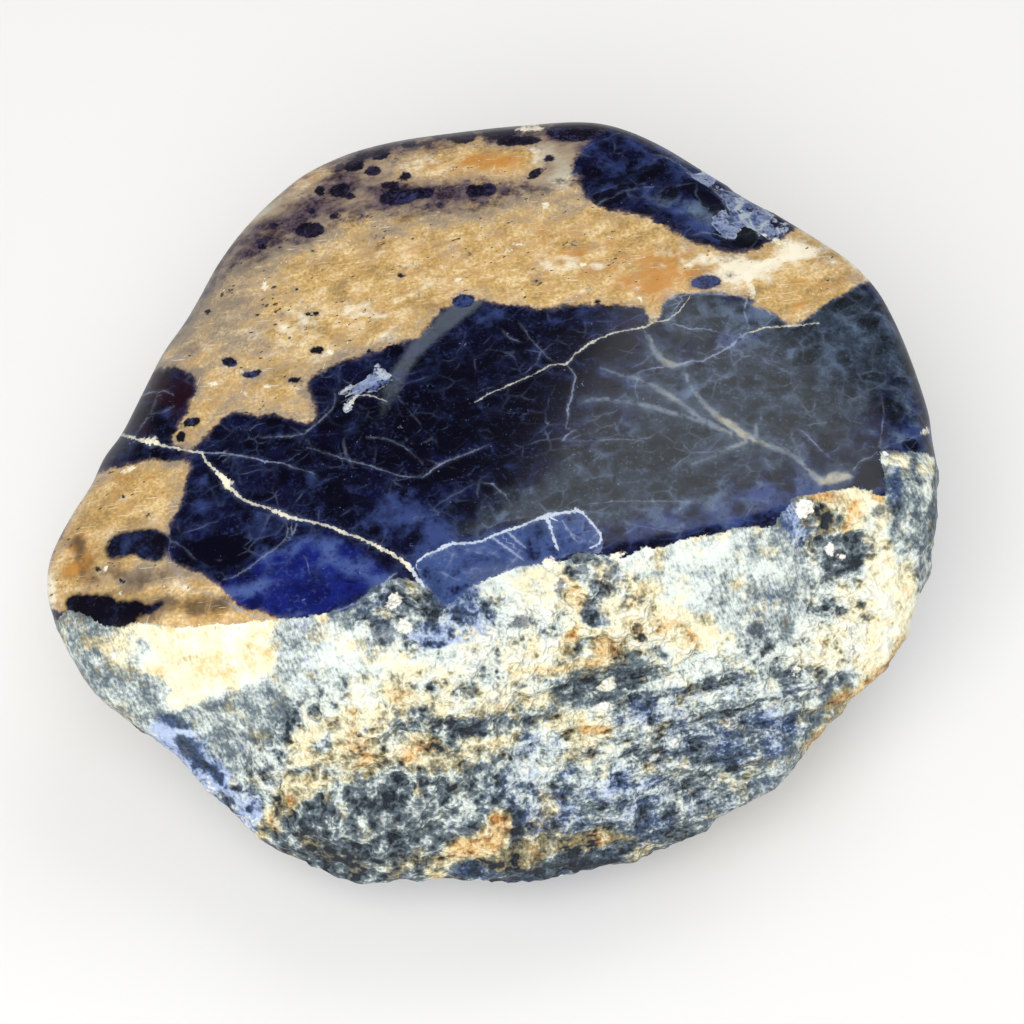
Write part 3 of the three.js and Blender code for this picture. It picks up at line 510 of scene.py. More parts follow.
# Narrow streaks on the broken stone: chain of (x, y, half width), lightness, blueness, warmth.
ROUGH_STREAKS = [
    ([(255, 835, 5), (275, 812, 8), (300, 790, 9), (325, 778, 9), (350, 770, 10), (385, 762, 9),
      (410, 752, 7), (440, 742, 4)], 0.6, 0.0, 0.62),
    ([(286, 782, 3), (294, 758, 4), (308, 740, 4), (332, 724, 4), (362, 714, 4),
      (392, 716, 2)], 0.86, 0.0, 0.5),
    ([(430, 876, 4), (446, 860, 9), (468, 848, 12), (490, 838, 11),
      (512, 826, 6)], 0.82, 0.0, 0.82),
    ([(904, 632, 3), (894, 650, 5), (880, 672, 5), (862, 692, 5), (842, 712, 5), (824, 730, 5),
      (806, 748, 4)], 0.56, 0.0, 0.85),
    ([(660, 708, 2), (700, 700, 3), (740, 690, 3), (790, 682, 2), (850, 668, 2)], 0.8, 0.3, 0.2),
    ([(640, 740, 3), (690, 715, 3), (740, 706, 3), (790, 702, 2)], 0.62, 0.3, 0.3),
    ([(620, 860, 2), (640, 850, 3), (690, 828, 3), (730, 812, 2)], 0.52, 0.2, 0.3),
    ([(498, 868, 2), (540, 852, 3), (590, 842, 2), (630, 838, 2)], 0.4, 0.0, 0.7),
    ([(824, 494, 3), (834, 492, 4), (846, 500, 3), (855, 514, 4), (862, 526, 3)], 0.62, 0.0, 0.95),
    ([(556, 566, 2), (570, 590, 3), (574, 612, 3), (585, 640, 3)], 0.9, 0.0, 0.5),
]

# The foot of the ground bevel, below which the stone is left as it broke.
BEVEL_FOOT = [
    (40, 700), (150, 745), (235, 770), (300, 690), (420, 655), (455, 600), (520, 590), (600, 575),
    (655, 590), (700, 640), (790, 636), (820, 560), (850, 520), (870, 500), (900, 440), (940, 440),
]
# Broken stone within the ground bevel.
BROKEN_ISLANDS = [
    [(350, 618), (366, 596), (395, 580), (430, 588), (450, 606), (446, 640), (410, 654),
     (372, 644)],
    [(552, 562), (580, 552), (620, 556), (640, 575), (636, 610), (606, 645), (572, 640),
     (560, 600)],
    [(795, 516), (808, 498), (834, 500), (856, 516), (872, 548), (862, 578), (830, 582),
     (806, 566)],
]
# The beds of the layered side: millimetres from one to the next, and their direction.
LAYER_PITCH = 1.7
LAYER_NORMAL = np.array((-0.22, 0.77, 0.6))

class StoneSizes(bpy.types.PropertyGroup):
    """Relief of the stone's finishes"""

    lump_rise: bpy.props.FloatProperty(
        name="Lump rise", description="Height of the lumps of the broken stone",
        default=0.55 * MM, min=0, max=2 * MM, unit="LENGTH")
    grain_rise: bpy.props.FloatProperty(
        name="Grain rise", description="Height of the grains of the broken stone",
        default=0.22 * MM, min=0, max=1 * MM, unit="LENGTH")
    pit_depth: bpy.props.FloatProperty(
        name="Pit depth", description="Depth of the pits in the broken stone",
        default=0.5 * MM, min=0, max=1.5 * MM, unit="LENGTH")
    ledge_rise: bpy.props.FloatProperty(
        name="Ledge rise", description="Height of the fine ledges on the layered side",
        default=0.32 * MM, min=0, max=1 * MM, unit="LENGTH")
    ground_rise: bpy.props.FloatProperty(
        name="Ground relief", description="Unevenness left by grinding on the bevel",
        default=0.05 * MM, min=0, max=0.3 * MM, unit="LENGTH")
    chip_depth: bpy.props.FloatProperty(
        name="Chip depth", description="Depth of the chipped rim at the back right",
        default=0.22 * MM, min=0, max=1 * MM, unit="LENGTH")


def colour(name, description, value):
    """A colour property given as sRGB values out of 255."""
    linear = [(c / 255 / 12.92) if c < 10.3 else ((c / 255 + 0.055) / 1.055) ** 2.4 for c in value]
    return bpy.props.FloatVectorProperty(
        name=name, description=description, subtype="COLOR", size=3, min=0, max=1,
        default=linear)


class StoneColours(bpy.types.PropertyGroup):
    """Colours of the minerals in the stone"""

    indigo: colour("Indigo", "Darkest sodalite", (5, 4, 20))
    navy: colour("Navy", "Usual sodalite", (14, 15, 52))
    # Plum follows the red tint, which at the rolled left rim is a painted reddish reflection.
    plum: colour("Plum", "Sodalite tinted by iron", (24, 13, 34))
    bright: colour("Bright blue", "Clear blue sodalite", (22, 34, 114))
    denim: colour("Denim", "Clouded sodalite", (54, 70, 122))
    # Coal, the middle grey below and mist are greyed sodalite, lightened in part as a painted
    # reflection on the polished face.
    coal: colour("Coal", "Darker part of the greyed sodalite", (24, 29, 34))
    steel: colour("Steel", "Greyed sodalite", (48, 59, 73))
    mist: colour("Mist", "Clouds in the greyed sodalite", (98, 116, 142))
    ink: colour("Ink", "Darkest part of the clear blue lens", (11, 15, 68))
    hazy: colour("Hazy blue", "Clouds in the clear blue lens", (74, 94, 152))
    frosted: colour("Frosted blue", "Stepped face", (64, 84, 136))
    grape: colour("Grape", "Dark blobs in the margin", (56, 49, 76))
    shell: colour("Shell", "Palest part of the margin", (192, 188, 168))
    tarnish: colour("Tarnish", "Middle of the tinted veins", (126, 138, 152))
    vein: colour("Vein", "Thin white veins", (186, 186, 176))
    ash: colour("Ash", "Grey edges of the feldspar", (134, 124, 112))
    chalk: colour("Chalk", "Edges of the stepped face", (196, 208, 226))
    pale_blue: colour("Pale blue", "Crackle and vein borders", (144, 157, 188))
    cream: colour("Cream", "White veins and crust", (246, 239, 216))
    straw: colour("Straw", "Light tone of the cream crust", (244, 238, 204))
    deep_tan: colour("Deep tan", "Darker part of the feldspar", (158, 130, 84))
    tan: colour("Tan", "Feldspar band", (202, 166, 104))
    light_tan: colour("Light tan", "Pale feldspar", (240, 217, 172))
    dusty: colour("Dusty tan", "Greyed feldspar", (178, 158, 132))
    rose_tan: colour("Rose tan", "Pinkish feldspar", (200, 158, 116))
    brown: colour("Brown", "Browned feldspar", (84, 66, 52))
    orange: colour("Orange", "Iron-stained feldspar", (194, 130, 50))
    deep_mauve: colour("Deep mauve", "Darker part of the margin", (46, 34, 50))
    mauve: colour("Mauve", "Grey-mauve margin", (104, 90, 98))
    # Wine is the strongest red tint, which at the rolled left rim is a painted reddish reflection.
    wine: colour("Wine", "Reddened sodalite", (40, 15, 24))
    soot: colour("Soot", "Specks in the feldspar", (40, 27, 27))
    # Slate is the tone of the gaps between grains, partly painted shade there.
    slate: colour("Slate", "Gaps between the grains of the broken stone", (34, 42, 52))
    grey: colour("Grey", "Middle tone of ground sodalite", (100, 115, 124))
    frost: colour("Frost", "Light tone of ground sodalite", (226, 236, 230))
    rough_blue: colour("Rough blue", "Middle tone of broken sodalite", (60, 82, 122))
    powder_blue: colour("Powder blue", "Light tone of broken sodalite", (176, 194, 228))
    olive: colour("Olive", "Middle tone of the cream crust", (150, 140, 104))
    ochre: colour("Ochre", "Stained crust", (236, 202, 142))
    rust: colour("Rust", "Middle tone of the stained crust", (170, 114, 52))
    white: colour("White", "Lightest grains of the crust", (252, 250, 240))


class StageSettings(bpy.types.PropertyGroup):
    """Floor, lights and backdrop"""

    floor_radius: bpy.props.FloatProperty(
        name="Floor radius", description="Flat part of the floor",
        default=1.2, min=0.3, max=5, unit="LENGTH")
    rim_height: bpy.props.FloatProperty(
        name="Backdrop height", description="How far the floor turns up around the stage",
        default=0.45, min=0, max=2, unit="LENGTH")
    key_power: bpy.props.FloatProperty(
        name="Key power", description="Power of the soft light over the front",
        default=5.7, min=0, max=100, unit="POWER")
    card_power: bpy.props.FloatProperty(
        name="Card power", description="Power of the soft card behind the right side",
        default=0.75, min=0, max=100, unit="POWER")
    world_strength: bpy.props.FloatProperty(
        name="Sky strength", description="Strength of the even light from all around",
        default=0.4, min=0, max=5)
    world_sheen: bpy.props.FloatProperty(
        name="Sky sheen", description="Strength of the even light as seen in polished faces",
        default=0.06, min=0, max=5)


# ---- reading the grid ----

FAR = 99.0  # farther than any marking lies from a point
TINY = 1e-6  # keeps divisions away from nought


def grid_of(points):
    """Grid x and grid y of points in millimetres."""
    local = points - HEART
    unit = GRID_UNIT * (1 - local @ VIEW_OUT / VIEW_DISTANCE)
    return GRID_HEART + local[:, 0] / unit, GRID_HEART - (local @ VIEW_UP) / unit


def rounded(outline, steps=4):
    """A closed outline drawn through its points as a smooth curve."""
    points = np.array(outline, float)
    before, after, next_after = (np.roll(points, n, axis=0) for n in (1, -1, -2))
    parts = []
    for t in np.arange(steps) / steps:
        parts.append(0.5 * (
            2 * points + (after - before) * t
            + (2 * before - 5 * points + 4 * after - next_after) * t ** 2
            + (3 * points - before - 3 * after + next_after) * t ** 3))
    return np.stack(parts, axis=1).reshape(-1, 2)


def inside_by(outline, x, y):
    """Distance in millimetres inside a closed outline, negative outside it."""
    line = rounded(outline)
    nearest = np.full(len(x), np.inf)
    inside = np.zeros(len(x), bool)
    for (ax, ay), (bx, by) in zip(line, np.roll(line, -1, axis=0)):
        dx, dy = bx - ax, by - ay
        t = np.clip(((x - ax) * dx + (y - ay) * dy) / (dx * dx + dy * dy + TINY), 0, 1)
        nearest = np.minimum(nearest, (x - ax - t * dx) ** 2 + (y - ay - t * dy) ** 2)
        crossing = (ay > y) != (by > y)
        inside ^= crossing & (x < ax + (y - ay) * dx / (dy if dy else TINY))
    return np.sqrt(nearest) * np.where(inside, GRID_UNIT, -GRID_UNIT)


def inside_any(outlines, x, y):
    """Distance in millimetres inside the nearest of some outlines."""
    return np.max([inside_by(outline, x, y) for outline in outlines], axis=0)


def in_oval(x, y, middle, half, turn):
    """Places along and across a turned oval, as parts of its half sizes."""
    c, s = math.cos(math.radians(turn)), math.sin(math.radians(turn))
    right, down = x - middle[0], y - middle[1]
    return (right * c - down * s) / half[0], (right * s + down * c) / half[1]


def grains_by(grains, x, y):
    """Distance in millimetres inside the nearest of many small ovals."""
    best = np.full(len(x), -FAR)
    for middle, half, turn in grains:
        u, v = in_oval(x, y, middle, half, turn)
        reach = np.hypot(u, v) + TINY
        slope = np.hypot(u / half[0], v / half[1]) / reach + TINY
        best = np.maximum(best, (1 - reach) / slope * GRID_UNIT)
    return best


def patches(spots, x, y):
    """Soft patches added up, 0 to a little over 1."""
    total = np.zeros(len(x))
    for middle, half, turn, strength in spots:
        u, v = in_oval(x, y, middle, half, turn)
        total += strength * np.exp(-(u * u + v * v))
    return np.clip(total, 0, 1.3)


def vein_field(veins, x, y, reach=6):
    """Signed distance to the nearest vein and its half width there, in millimetres.

    The width is kept only within a reach, in grid units, of the vein."""
    distance = np.full(len(x), FAR)
    side = np.ones(len(x))
    width = np.full(len(x), -1.0)
    for vein in veins:
        for (ax, ay, a_width), (bx, by, b_width) in zip(vein, vein[1:]):
            dx, dy = bx - ax, by - ay
            length = math.hypot(dx, dy)
            t = ((x - ax) * dx + (y - ay) * dy) / length ** 2
            past = np.maximum(np.maximum(-t, t - 1), 0) * length
            t = np.clip(t, 0, 1)
            away = np.hypot(x - ax - t * dx, y - ay - t * dy)
            nearer = away < distance
            distance = np.where(nearer, away, distance)
            side = np.where(nearer, np.sign(dx * (y - ay) - dy * (x - ax)), side)
            width = np.where(nearer, a_width + t * (b_width - a_width) - 0.9 * past, width)
    width = np.where(distance > reach + np.maximum(width, 0), -2.0, width)
    return distance * side * GRID_UNIT, width * GRID_UNIT


# ---- noise ----

SLOW_SIZE = 5.5  # millimetres
QUICK_SIZE = 2.2
SCATTER = (374761393, 668265263, 2147483647, 1274126177)  # large odd factors
WORD = 0xFFFFFFFF


def lattice(ix, iy, iz, seed):
    """A repeatable random unit gradient for each lattice point."""
    mixed = sum(part * factor for part, factor in zip((ix, iy, iz, seed), SCATTER)) & WORD
    mixed = ((mixed ^ (mixed >> 13)) * SCATTER[3]) & WORD
    mixed ^= mixed >> 16
    around = (mixed & 0xFFFF) / 0x10000 * 2 * np.pi
    up = ((mixed >> 16) & 0xFFFF) / 0x10000 * 2 - 1
    level = np.sqrt(1 - up * up)
    return level * np.cos(around), level * np.sin(around), up


def noise3(points, seed):
    """Gradient noise, about -0.7 to 0.7."""
    base = np.floor(points).astype(np.int64)
    f = points - base
    fade = f * f * f * (f * (f * 6 - 15) + 10)
    total = np.zeros(len(points))
    for corner in range(8):
        step = (corner & 1, (corner >> 1) & 1, corner >> 2)
        gradient = lattice(*(base[:, axis] + step[axis] for axis in range(3)), seed)
        dot = sum(gradient[axis] * (f[:, axis] - step[axis]) for axis in range(3))
        for axis in range(3):
            dot = dot * (fade[:, axis] if step[axis] else 1 - fade[:, axis])
        total += dot
    return total


def layered_noise(points, size, octaves, seed):
    """Several sizes of noise added up, the largest given in millimetres."""
    total = np.zeros(len(points))
    for i in range(octaves):
        total += noise3(points * (2 ** i / size), seed + 17 * i) * 0.5 ** i
    return total


def varied(amount, points, seed, slow, quick):
    """An amount with slow and quicker random changes added."""
    return amount + 1.8 * (slow * layered_noise(points, SLOW_SIZE, 2, seed)
                           + quick * layered_noise(points, QUICK_SIZE, 2, seed + 5))


def smooth_step(value, low, high):
    """Rises smoothly from 0 to 1 while a value passes from low to high."""
    t = np.clip((value - low) / (high - low), 0, 1)
    return t * t * (3 - 2 * t)


# ---- the mesh ----

SMOOTHINGS = 2
# Sizes of the forms of the relief, in millimetres.
LUMP_SPAN = 3.4
CREST_SPAN = 2.1
GRAIN_SPAN = 0.95
PIT_SPAN = 2.3
CHIP_SPAN = 1.6
STROKE_SPAN = 1.2
WANDER_SPAN = 16
WANDER = 28  # how far markings stray out of sight, in grid units
FLAT_SPOT = 0.02  # points lower than this, in millimetres, are on the flat spot
BOX_SLACK = 0.3  # how far relief may stand out of the solid's box, in millimetres


def welded(mesh):
    """Corner points in millimetres and triangles of a mesh, with doubled points merged."""
    points = np.empty(len(mesh.vertices) * 3)
    mesh.vertices.foreach_get("co", points)
    mesh.calc_loop_triangles()
    corners = np.empty(len(mesh.loop_triangles) * 3, np.int64)
    mesh.loop_triangles.foreach_get("vertices", corners)
    points, index = np.unique(
        np.round(points.reshape(-1, 3) / MM, 3), axis=0, return_inverse=True)
    triangles = index.reshape(-1)[corners].reshape(-1, 3)
    return points, triangles


def halved(points, triangles):
    """One round of smooth subdivision with Loop's weights: every triangle becomes four."""
    count = len(points)
    sides = np.sort(np.concatenate(
        [triangles[:, [0, 1]], triangles[:, [1, 2]], triangles[:, [2, 0]]]), axis=1)
    facing = np.concatenate([triangles[:, 2], triangles[:, 0], triangles[:, 1]])
    edges, index = np.unique(sides, axis=0, return_inverse=True)
    index = index.reshape(-1)
    across = np.zeros((len(edges), 3))
    np.add.at(across, index, points[facing])
    middles = 0.375 * (points[edges[:, 0]] + points[edges[:, 1]]) + 0.125 * across

    around = np.zeros((count, 3))
    valence = np.zeros(count)
    for a, b in ((0, 1), (1, 0)):
        np.add.at(around, edges[:, a], points[edges[:, b]])
        np.add.at(valence, edges[:, a], 1)
    share = np.where(valence > 3, 3 / (8 * valence), 3 / 16)[:, None]
    kept = points * (1 - valence[:, None] * share) + around * share

    ab, bc, ca = count + index.reshape(3, -1)
    a, b, c = triangles.T
    quarters = np.concatenate([
        np.stack([a, ab, ca], 1), np.stack([ab, b, bc], 1),
        np.stack([ca, bc, c], 1), np.stack([ab, bc, ca], 1)])
    return np.concatenate([kept, middles]), quarters


def normals_of(points, triangles):
    """The direction out of the stone at each point."""
    a, b, c = (points[triangles[:, i]] for i in range(3))
    across = np.cross(b - a, c - a)
    normals = np.zeros_like(points)
    for i in range(3):
        np.add.at(normals, triangles[:, i], across)
    return normals / np.linalg.norm(normals, axis=1, keepdims=True)


def site_of(points, normals):
    """For each point its place on the grid, how far it faces the view, how far it lies inside
    the polished face and how much painted light its rim gets where it turns away from the view."""
    x, y = grid_of(points)
    facing = normals @ VIEW_OUT
    front = smooth_step(facing, -0.12, 0.1)
    wander = [WANDER * layered_noise(points, WANDER_SPAN, 2, seed) for seed in (3, 5)]
    x = x + (1 - front) * wander[0]
    y = y + (1 - front) * wander[1]
    # Behind the outline only a narrow margin of the polished face is left.
    polished = np.minimum(inside_by(POLISHED, x, y), (facing + 0.32) * 6)
    # Painted light: the rim is lightened where it turns away from the view, in place of the shade
    # that falls there.
    return SimpleNamespace(x=x, y=y, front=front, polished=polished,
                           painted_rim_light=smooth_step(facing, 0.5, 0.05))


def broken_share(site):
    """1 where the stone is left as it broke, 0 where it is ground or polished."""
    x, y = site.x, site.y
    below = np.where(site.front > 0.5, y - np.interp(x, *zip(*BEVEL_FOOT)), 60)
    broken = smooth_step(below, -18, 26)
    for island in BROKEN_ISLANDS:
        broken = np.maximum(broken, smooth_step(inside_by(island, x, y), -0.4, 0.6))
    broken *= 1 - smooth_step(site.polished, -0.5, 0.05)
    right_edge = x + 0.83 * np.maximum(y - 640, 0)
    return broken * (1 - 0.55 * smooth_step(right_edge, 850, 895))


def relief_of(points, site, sizes):
    """Height of the fine relief along the normals, in millimetres."""
    x, y = site.x, site.y
    crests = 1 - 2.4 * np.abs(noise3(points / CREST_SPAN, 23))
    lumps = layered_noise(points, LUMP_SPAN, 2, 11) + 0.35 * crests
    grains = 1.6 * layered_noise(points, GRAIN_SPAN, 2, 31)
    pits = smooth_step(layered_noise(points, PIT_SPAN, 2, 41), 0.16, 0.42)
    layer = (points - HEART) @ LAYER_NORMAL / LAYER_PITCH + 0.8 * layered_noise(points, 9, 2, 53)
    step = layer - np.floor(layer)
    ledges = np.minimum(step / 0.7, (1 - step) / 0.3) - 0.5
    layered = smooth_step(x, 480, 620) * smooth_step(y, 620, 680)
    height = site.broken * (
        sizes.lump_rise * lumps + sizes.grain_rise * grains - sizes.pit_depth * pits
        + sizes.ledge_rise * ledges * (0.25 + 0.75 * layered))
    ground = (1 - smooth_step(site.polished, -0.35, 0.05)) * (1 - site.broken)
    strokes = noise3(points * np.array((2.2, 0.3, 0.3)), 61)
    strokes += layered_noise(points, STROKE_SPAN, 2, 67)
    height += ground * sizes.ground_rise * 1.5 * strokes
    chipped = smooth_step(inside_by(CHIPPED, x, y), -0.1, 0.15) * site.front
    height -= chipped * sizes.chip_depth * (0.75 + 0.5 * layered_noise(points, CHIP_SPAN, 2, 71))
    return height / MM


def stone_mesh(sizes):
    """The stone's fine mesh with its markings stored as attributes."""
    points, triangles = welded(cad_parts["sodalite"].data)
    for _ in range(SMOOTHINGS):
        points, triangles = halved(points, triangles)
    normals = normals_of(points, triangles)
    site = site_of(points, normals)
    site.broken = broken_share(site)
    site.height = relief_of(points, site, sizes)
    moved = points[:, 2] > FLAT_SPOT
    points = points + normals * (site.height * moved)[:, None]
    low, high = (np.array(corner) / MM for corner in CAD_BOX)
    points = np.clip(points, low - BOX_SLACK, high + BOX_SLACK)
    points[:, 2] = np.maximum(points[:, 2], 0)

    mesh = bpy.data.meshes.new("sodalite_stone")
    mesh.from_pydata((points * MM).tolist(), [], triangles.tolist())
    mesh.polygons.foreach_set("use_smooth", np.ones(len(mesh.polygons), bool))
    values = markings_of(points, normals, site)
    for attribute, names in MARKINGS.items():
        store(mesh, attribute, [values[name] for name in names])
    return mesh


def store(mesh, name, values):
    """Keeps up to three values per point as one vector attribute."""
    vectors = np.zeros((len(mesh.vertices), 3), np.float32)
    for channel, value in enumerate(values):
        vectors[:, channel] = value
    attribute = mesh.attributes.new(name, "FLOAT_VECTOR", "POINT")
    attribute.data.foreach_set("vector", vectors.ravel())


# ---- markings ----

# The attributes of the mesh and the values that each carries to the material. A name that ends
# in _in is a distance inside a form, and one that ends in _at a distance to a vein.
MARKINGS = {
    "finish": ("polished", "broken", "relief"),
    "feldspar": ("tan_in", "grain_in", "mauve_in"),
    "islands": ("island", "around_island"),
    "cream_vein": ("cream_at", "cream_half", "fine_at"),
    "tinted_vein": ("tinted_at", "tinted_half", "fine_half"),
    "blues": ("clouded", "steel", "darkest"),
    "tans": ("orange", "pale", "greyed"),
    "marks": ("browned", "reddened", "white_in"),
    "shape": ("rolled", "knob_in", "band"),
    "zones": ("lens_in", "step_in", "layered"),
    "cells": ("cell_in", "chip_in", "rosy"),
    "clouds": ("cloud", "cloud_2", "cloud_3"),
    "rough": ("lightness", "blueness", "warmth"),
}


def markings_of(points, normals, site):
    """The values named in MARKINGS, one per point."""
    x, y, front, polished = site.x, site.y, site.front, site.polished

    def spread(spots, seed, slow, quick, more=0):
        return varied(patches(spots, x, y) + more, points, seed, slow, quick)

    tan = inside_any(TAN, x, y)
    island = inside_any(ISLANDS, x, y) + 0.6 * layered_noise(points, 2.2, 2, 97)
    cream_at, cream_half = vein_field(CREAM_VEINS, x, y)
    fine_at, fine_half = vein_field(FINE_VEINS, x, y)
    tinted_at, tinted_half = vein_field(TINTED_VEINS, x, y, 16)
    band_at, band_half = vein_field([STEEL_BAND], x, y, 12)
    band = smooth_step(band_half - np.abs(band_at), -0.5, 0.45)
    darkest = patches(DARKEST, x, y)
    # Painted rim light: the clouded blue grows lighter where the face turns away from the view.
    clouded = 0.7 * patches(CLOUDED, x, y) - 0.3 * darkest + 0.9 * site.painted_rim_light
    through = smooth_step(tan, -1.0, 1.0) * (1 - front)
    lightness, blueness, warmth = rough_values(points, x, y, front, through)
    values = dict(
        polished=polished,
        broken=site.broken,
        relief=(0.75 * site.broken + 0.2) * smooth_step(polished, 0.05, -0.2),
        tan_in=tan,
        grain_in=grains_by(GRAINS, x, y),
        mauve_in=inside_by(MAUVE, x, y),
        island=smooth_step(island, -0.45, 0.3),
        around_island=smooth_step(island, -1.7, 0.2),
        cream_at=cream_at,
        cream_half=cream_half,
        fine_at=fine_at,
        fine_half=fine_half,
        tinted_at=np.abs(tinted_at),
        tinted_half=tinted_half,
        clouded=varied(clouded, points, 7, 0.1, 0.5),
        steel=spread(STEEL_SHEEN, 19, 0.2, 0.3),
        darkest=darkest,
        orange=spread(ORANGE, 29, 0.15, 0.35),
        # The painted rim light also pales the feldspar and its margin at the rim.
        pale=spread(PALE, 37, 0.1, 0.2, 0.4 * site.painted_rim_light),
        greyed=spread(GREYED, 43, 0.15, 0.3),
        browned=spread(BROWNED, 59, 0, 0.35),
        reddened=spread(REDDENED_AND_REFLECTED, 73, 0.35, 0.5),
        white_in=grains_by(WHITE_MARKS, x, y),
        rolled=1 - smooth_step(normals[:, 2], 0.72, 0.96),
        knob_in=grains_by(KNOBS, x, y),
        band=band * np.interp(y, (300, 345, 400, 436), (1, 0.85, 0.5, 0)),
        lens_in=inside_by(LENS, x, y),
        step_in=inside_by(STEP, x, y),
        layered=front * smooth_step(x, 500, 600) * smooth_step(y - 0.1 * (x - 500), 630, 660),
        cell_in=grains_by(BLACK_CELLS, x, y),
        chip_in=inside_any((CHIPPED, GLINT), x, y),
        rosy=varied(0, points, 79, 0.6, 0.35),
        # Painted light and shade: lumps of the relief are lighter and pits darker by their height;
        # broken stone is a little lighter as well.
        lightness=lightness + 0.26 * site.height + 0.08 * site.broken,
        blueness=blueness,
        warmth=warmth,
    )
    for name, seed in (("cloud", 107), ("cloud_2", 109), ("cloud_3", 113)):
        values[name] = varied(0, points, seed, 0, 1)
    return values


def laid_over(values, share, other):
    """Values per point with one set of values laid over a share of each."""
    share = share[:, None]
    return values * (1 - share) + share * np.array(other)


def rough_values(points, x, y, front, through):
    """Lightness, blueness and warmth of the ground and broken stone."""
    x = x + 9 * layered_noise(points, 2.6, 3, 101)
    y = y + 9 * layered_noise(points, 2.6, 3, 103)
    weight = np.full(len(x), BETWEEN_WEIGHT)
    totals = np.tile(np.array(BETWEEN_PATCHES) * BETWEEN_WEIGHT, (len(x), 1))
    for middle, half, turn, *patch in ROUGH_PATCHES:
        u, v = in_oval(x, y, middle, half, turn)
        share = np.exp(-1.6 * (u * u + v * v))
        totals += share[:, None] * np.array(patch)
        weight += share
    values = totals / weight[:, None]
    for outline, soft, *plate in ROUGH_PLATES:
        values = laid_over(values, smooth_step(inside_by(outline, x, y), -soft, soft), plate)
    for middle, half, turn, *spot in ROUGH_SPOTS:
        u, v = in_oval(x, y, middle, half, turn)
        values = laid_over(values, smooth_step(u * u + v * v, 2.6, 0.3), spot)
    for chain, *streak in ROUGH_STREAKS:
        streak_at, streak_half = vein_field([chain], x, y)
        share = smooth_step(streak_half - np.abs(streak_at), -0.45, 0.3)
        values = laid_over(values, share, streak)
    hidden = np.stack([
        0.36 + 0.42 * layered_noise(points, 6, 3, 83) + 0.25 * through,
        (0.5 + 0.9 * layered_noise(points, 8, 3, 97)) * (1 - through),
        0.18 + 0.7 * layered_noise(points, 9, 3, 89) + 0.6 * through], axis=1)
    mixed = values * front[:, None] + hidden * (1 - front[:, None])
    # Painted shade: the front grows darker towards its bottom, where it turns away from the light.
    mixed[:, 0] -= front * np.interp(y, (540, 640, 760, 860), (0.06, 0.05, 0.12, 0.26))
    mixed = np.clip(mixed, 0, 1)
    for channel, (amount, seed) in enumerate(((0.2, 131), (0.5, 137), (0.46, 139))):
        mixed[:, channel] += amount * layered_noise(points, 2.7, 2, seed)
    return mixed.T


# ---- material ----

LUMP_SIZE = 1.05  # millimetres
LUMP_ROUGHNESS = 0.56
FINE_SIZE = 0.28
BIG_CELLS = 0.25  # cells of the crackle per millimetre
LITTLE_CELLS = 0.66
# Forms drawn out in one direction: their sizes along it, across it and in depth, in
# millimetres, and the direction's turn in the view.
CELL_FORM = ((1.35, 0.8, 1.0), 18)
WEAVE_FORM = ((2.2, 1.0, 1.2), 20)
SPECK_FORM = ((0.85, 0.36, 1.0), 20)
SCRATCH_FORMS = (((2.6, 0.13, 1.0), 6), ((2.6, 0.13, 1.0), 72))
BED_FORM = ((1.7, 0.6, 1.0), 14)
STROKE_FORM = ((0.9, 0.26, 1.0), 112)
BUMP_DEPTH = 1.5  # millimetres
STONE_IOR = 1.42
GROUND_ROUGHNESS = 0.5
BROKEN_ROUGHNESS = 0.72


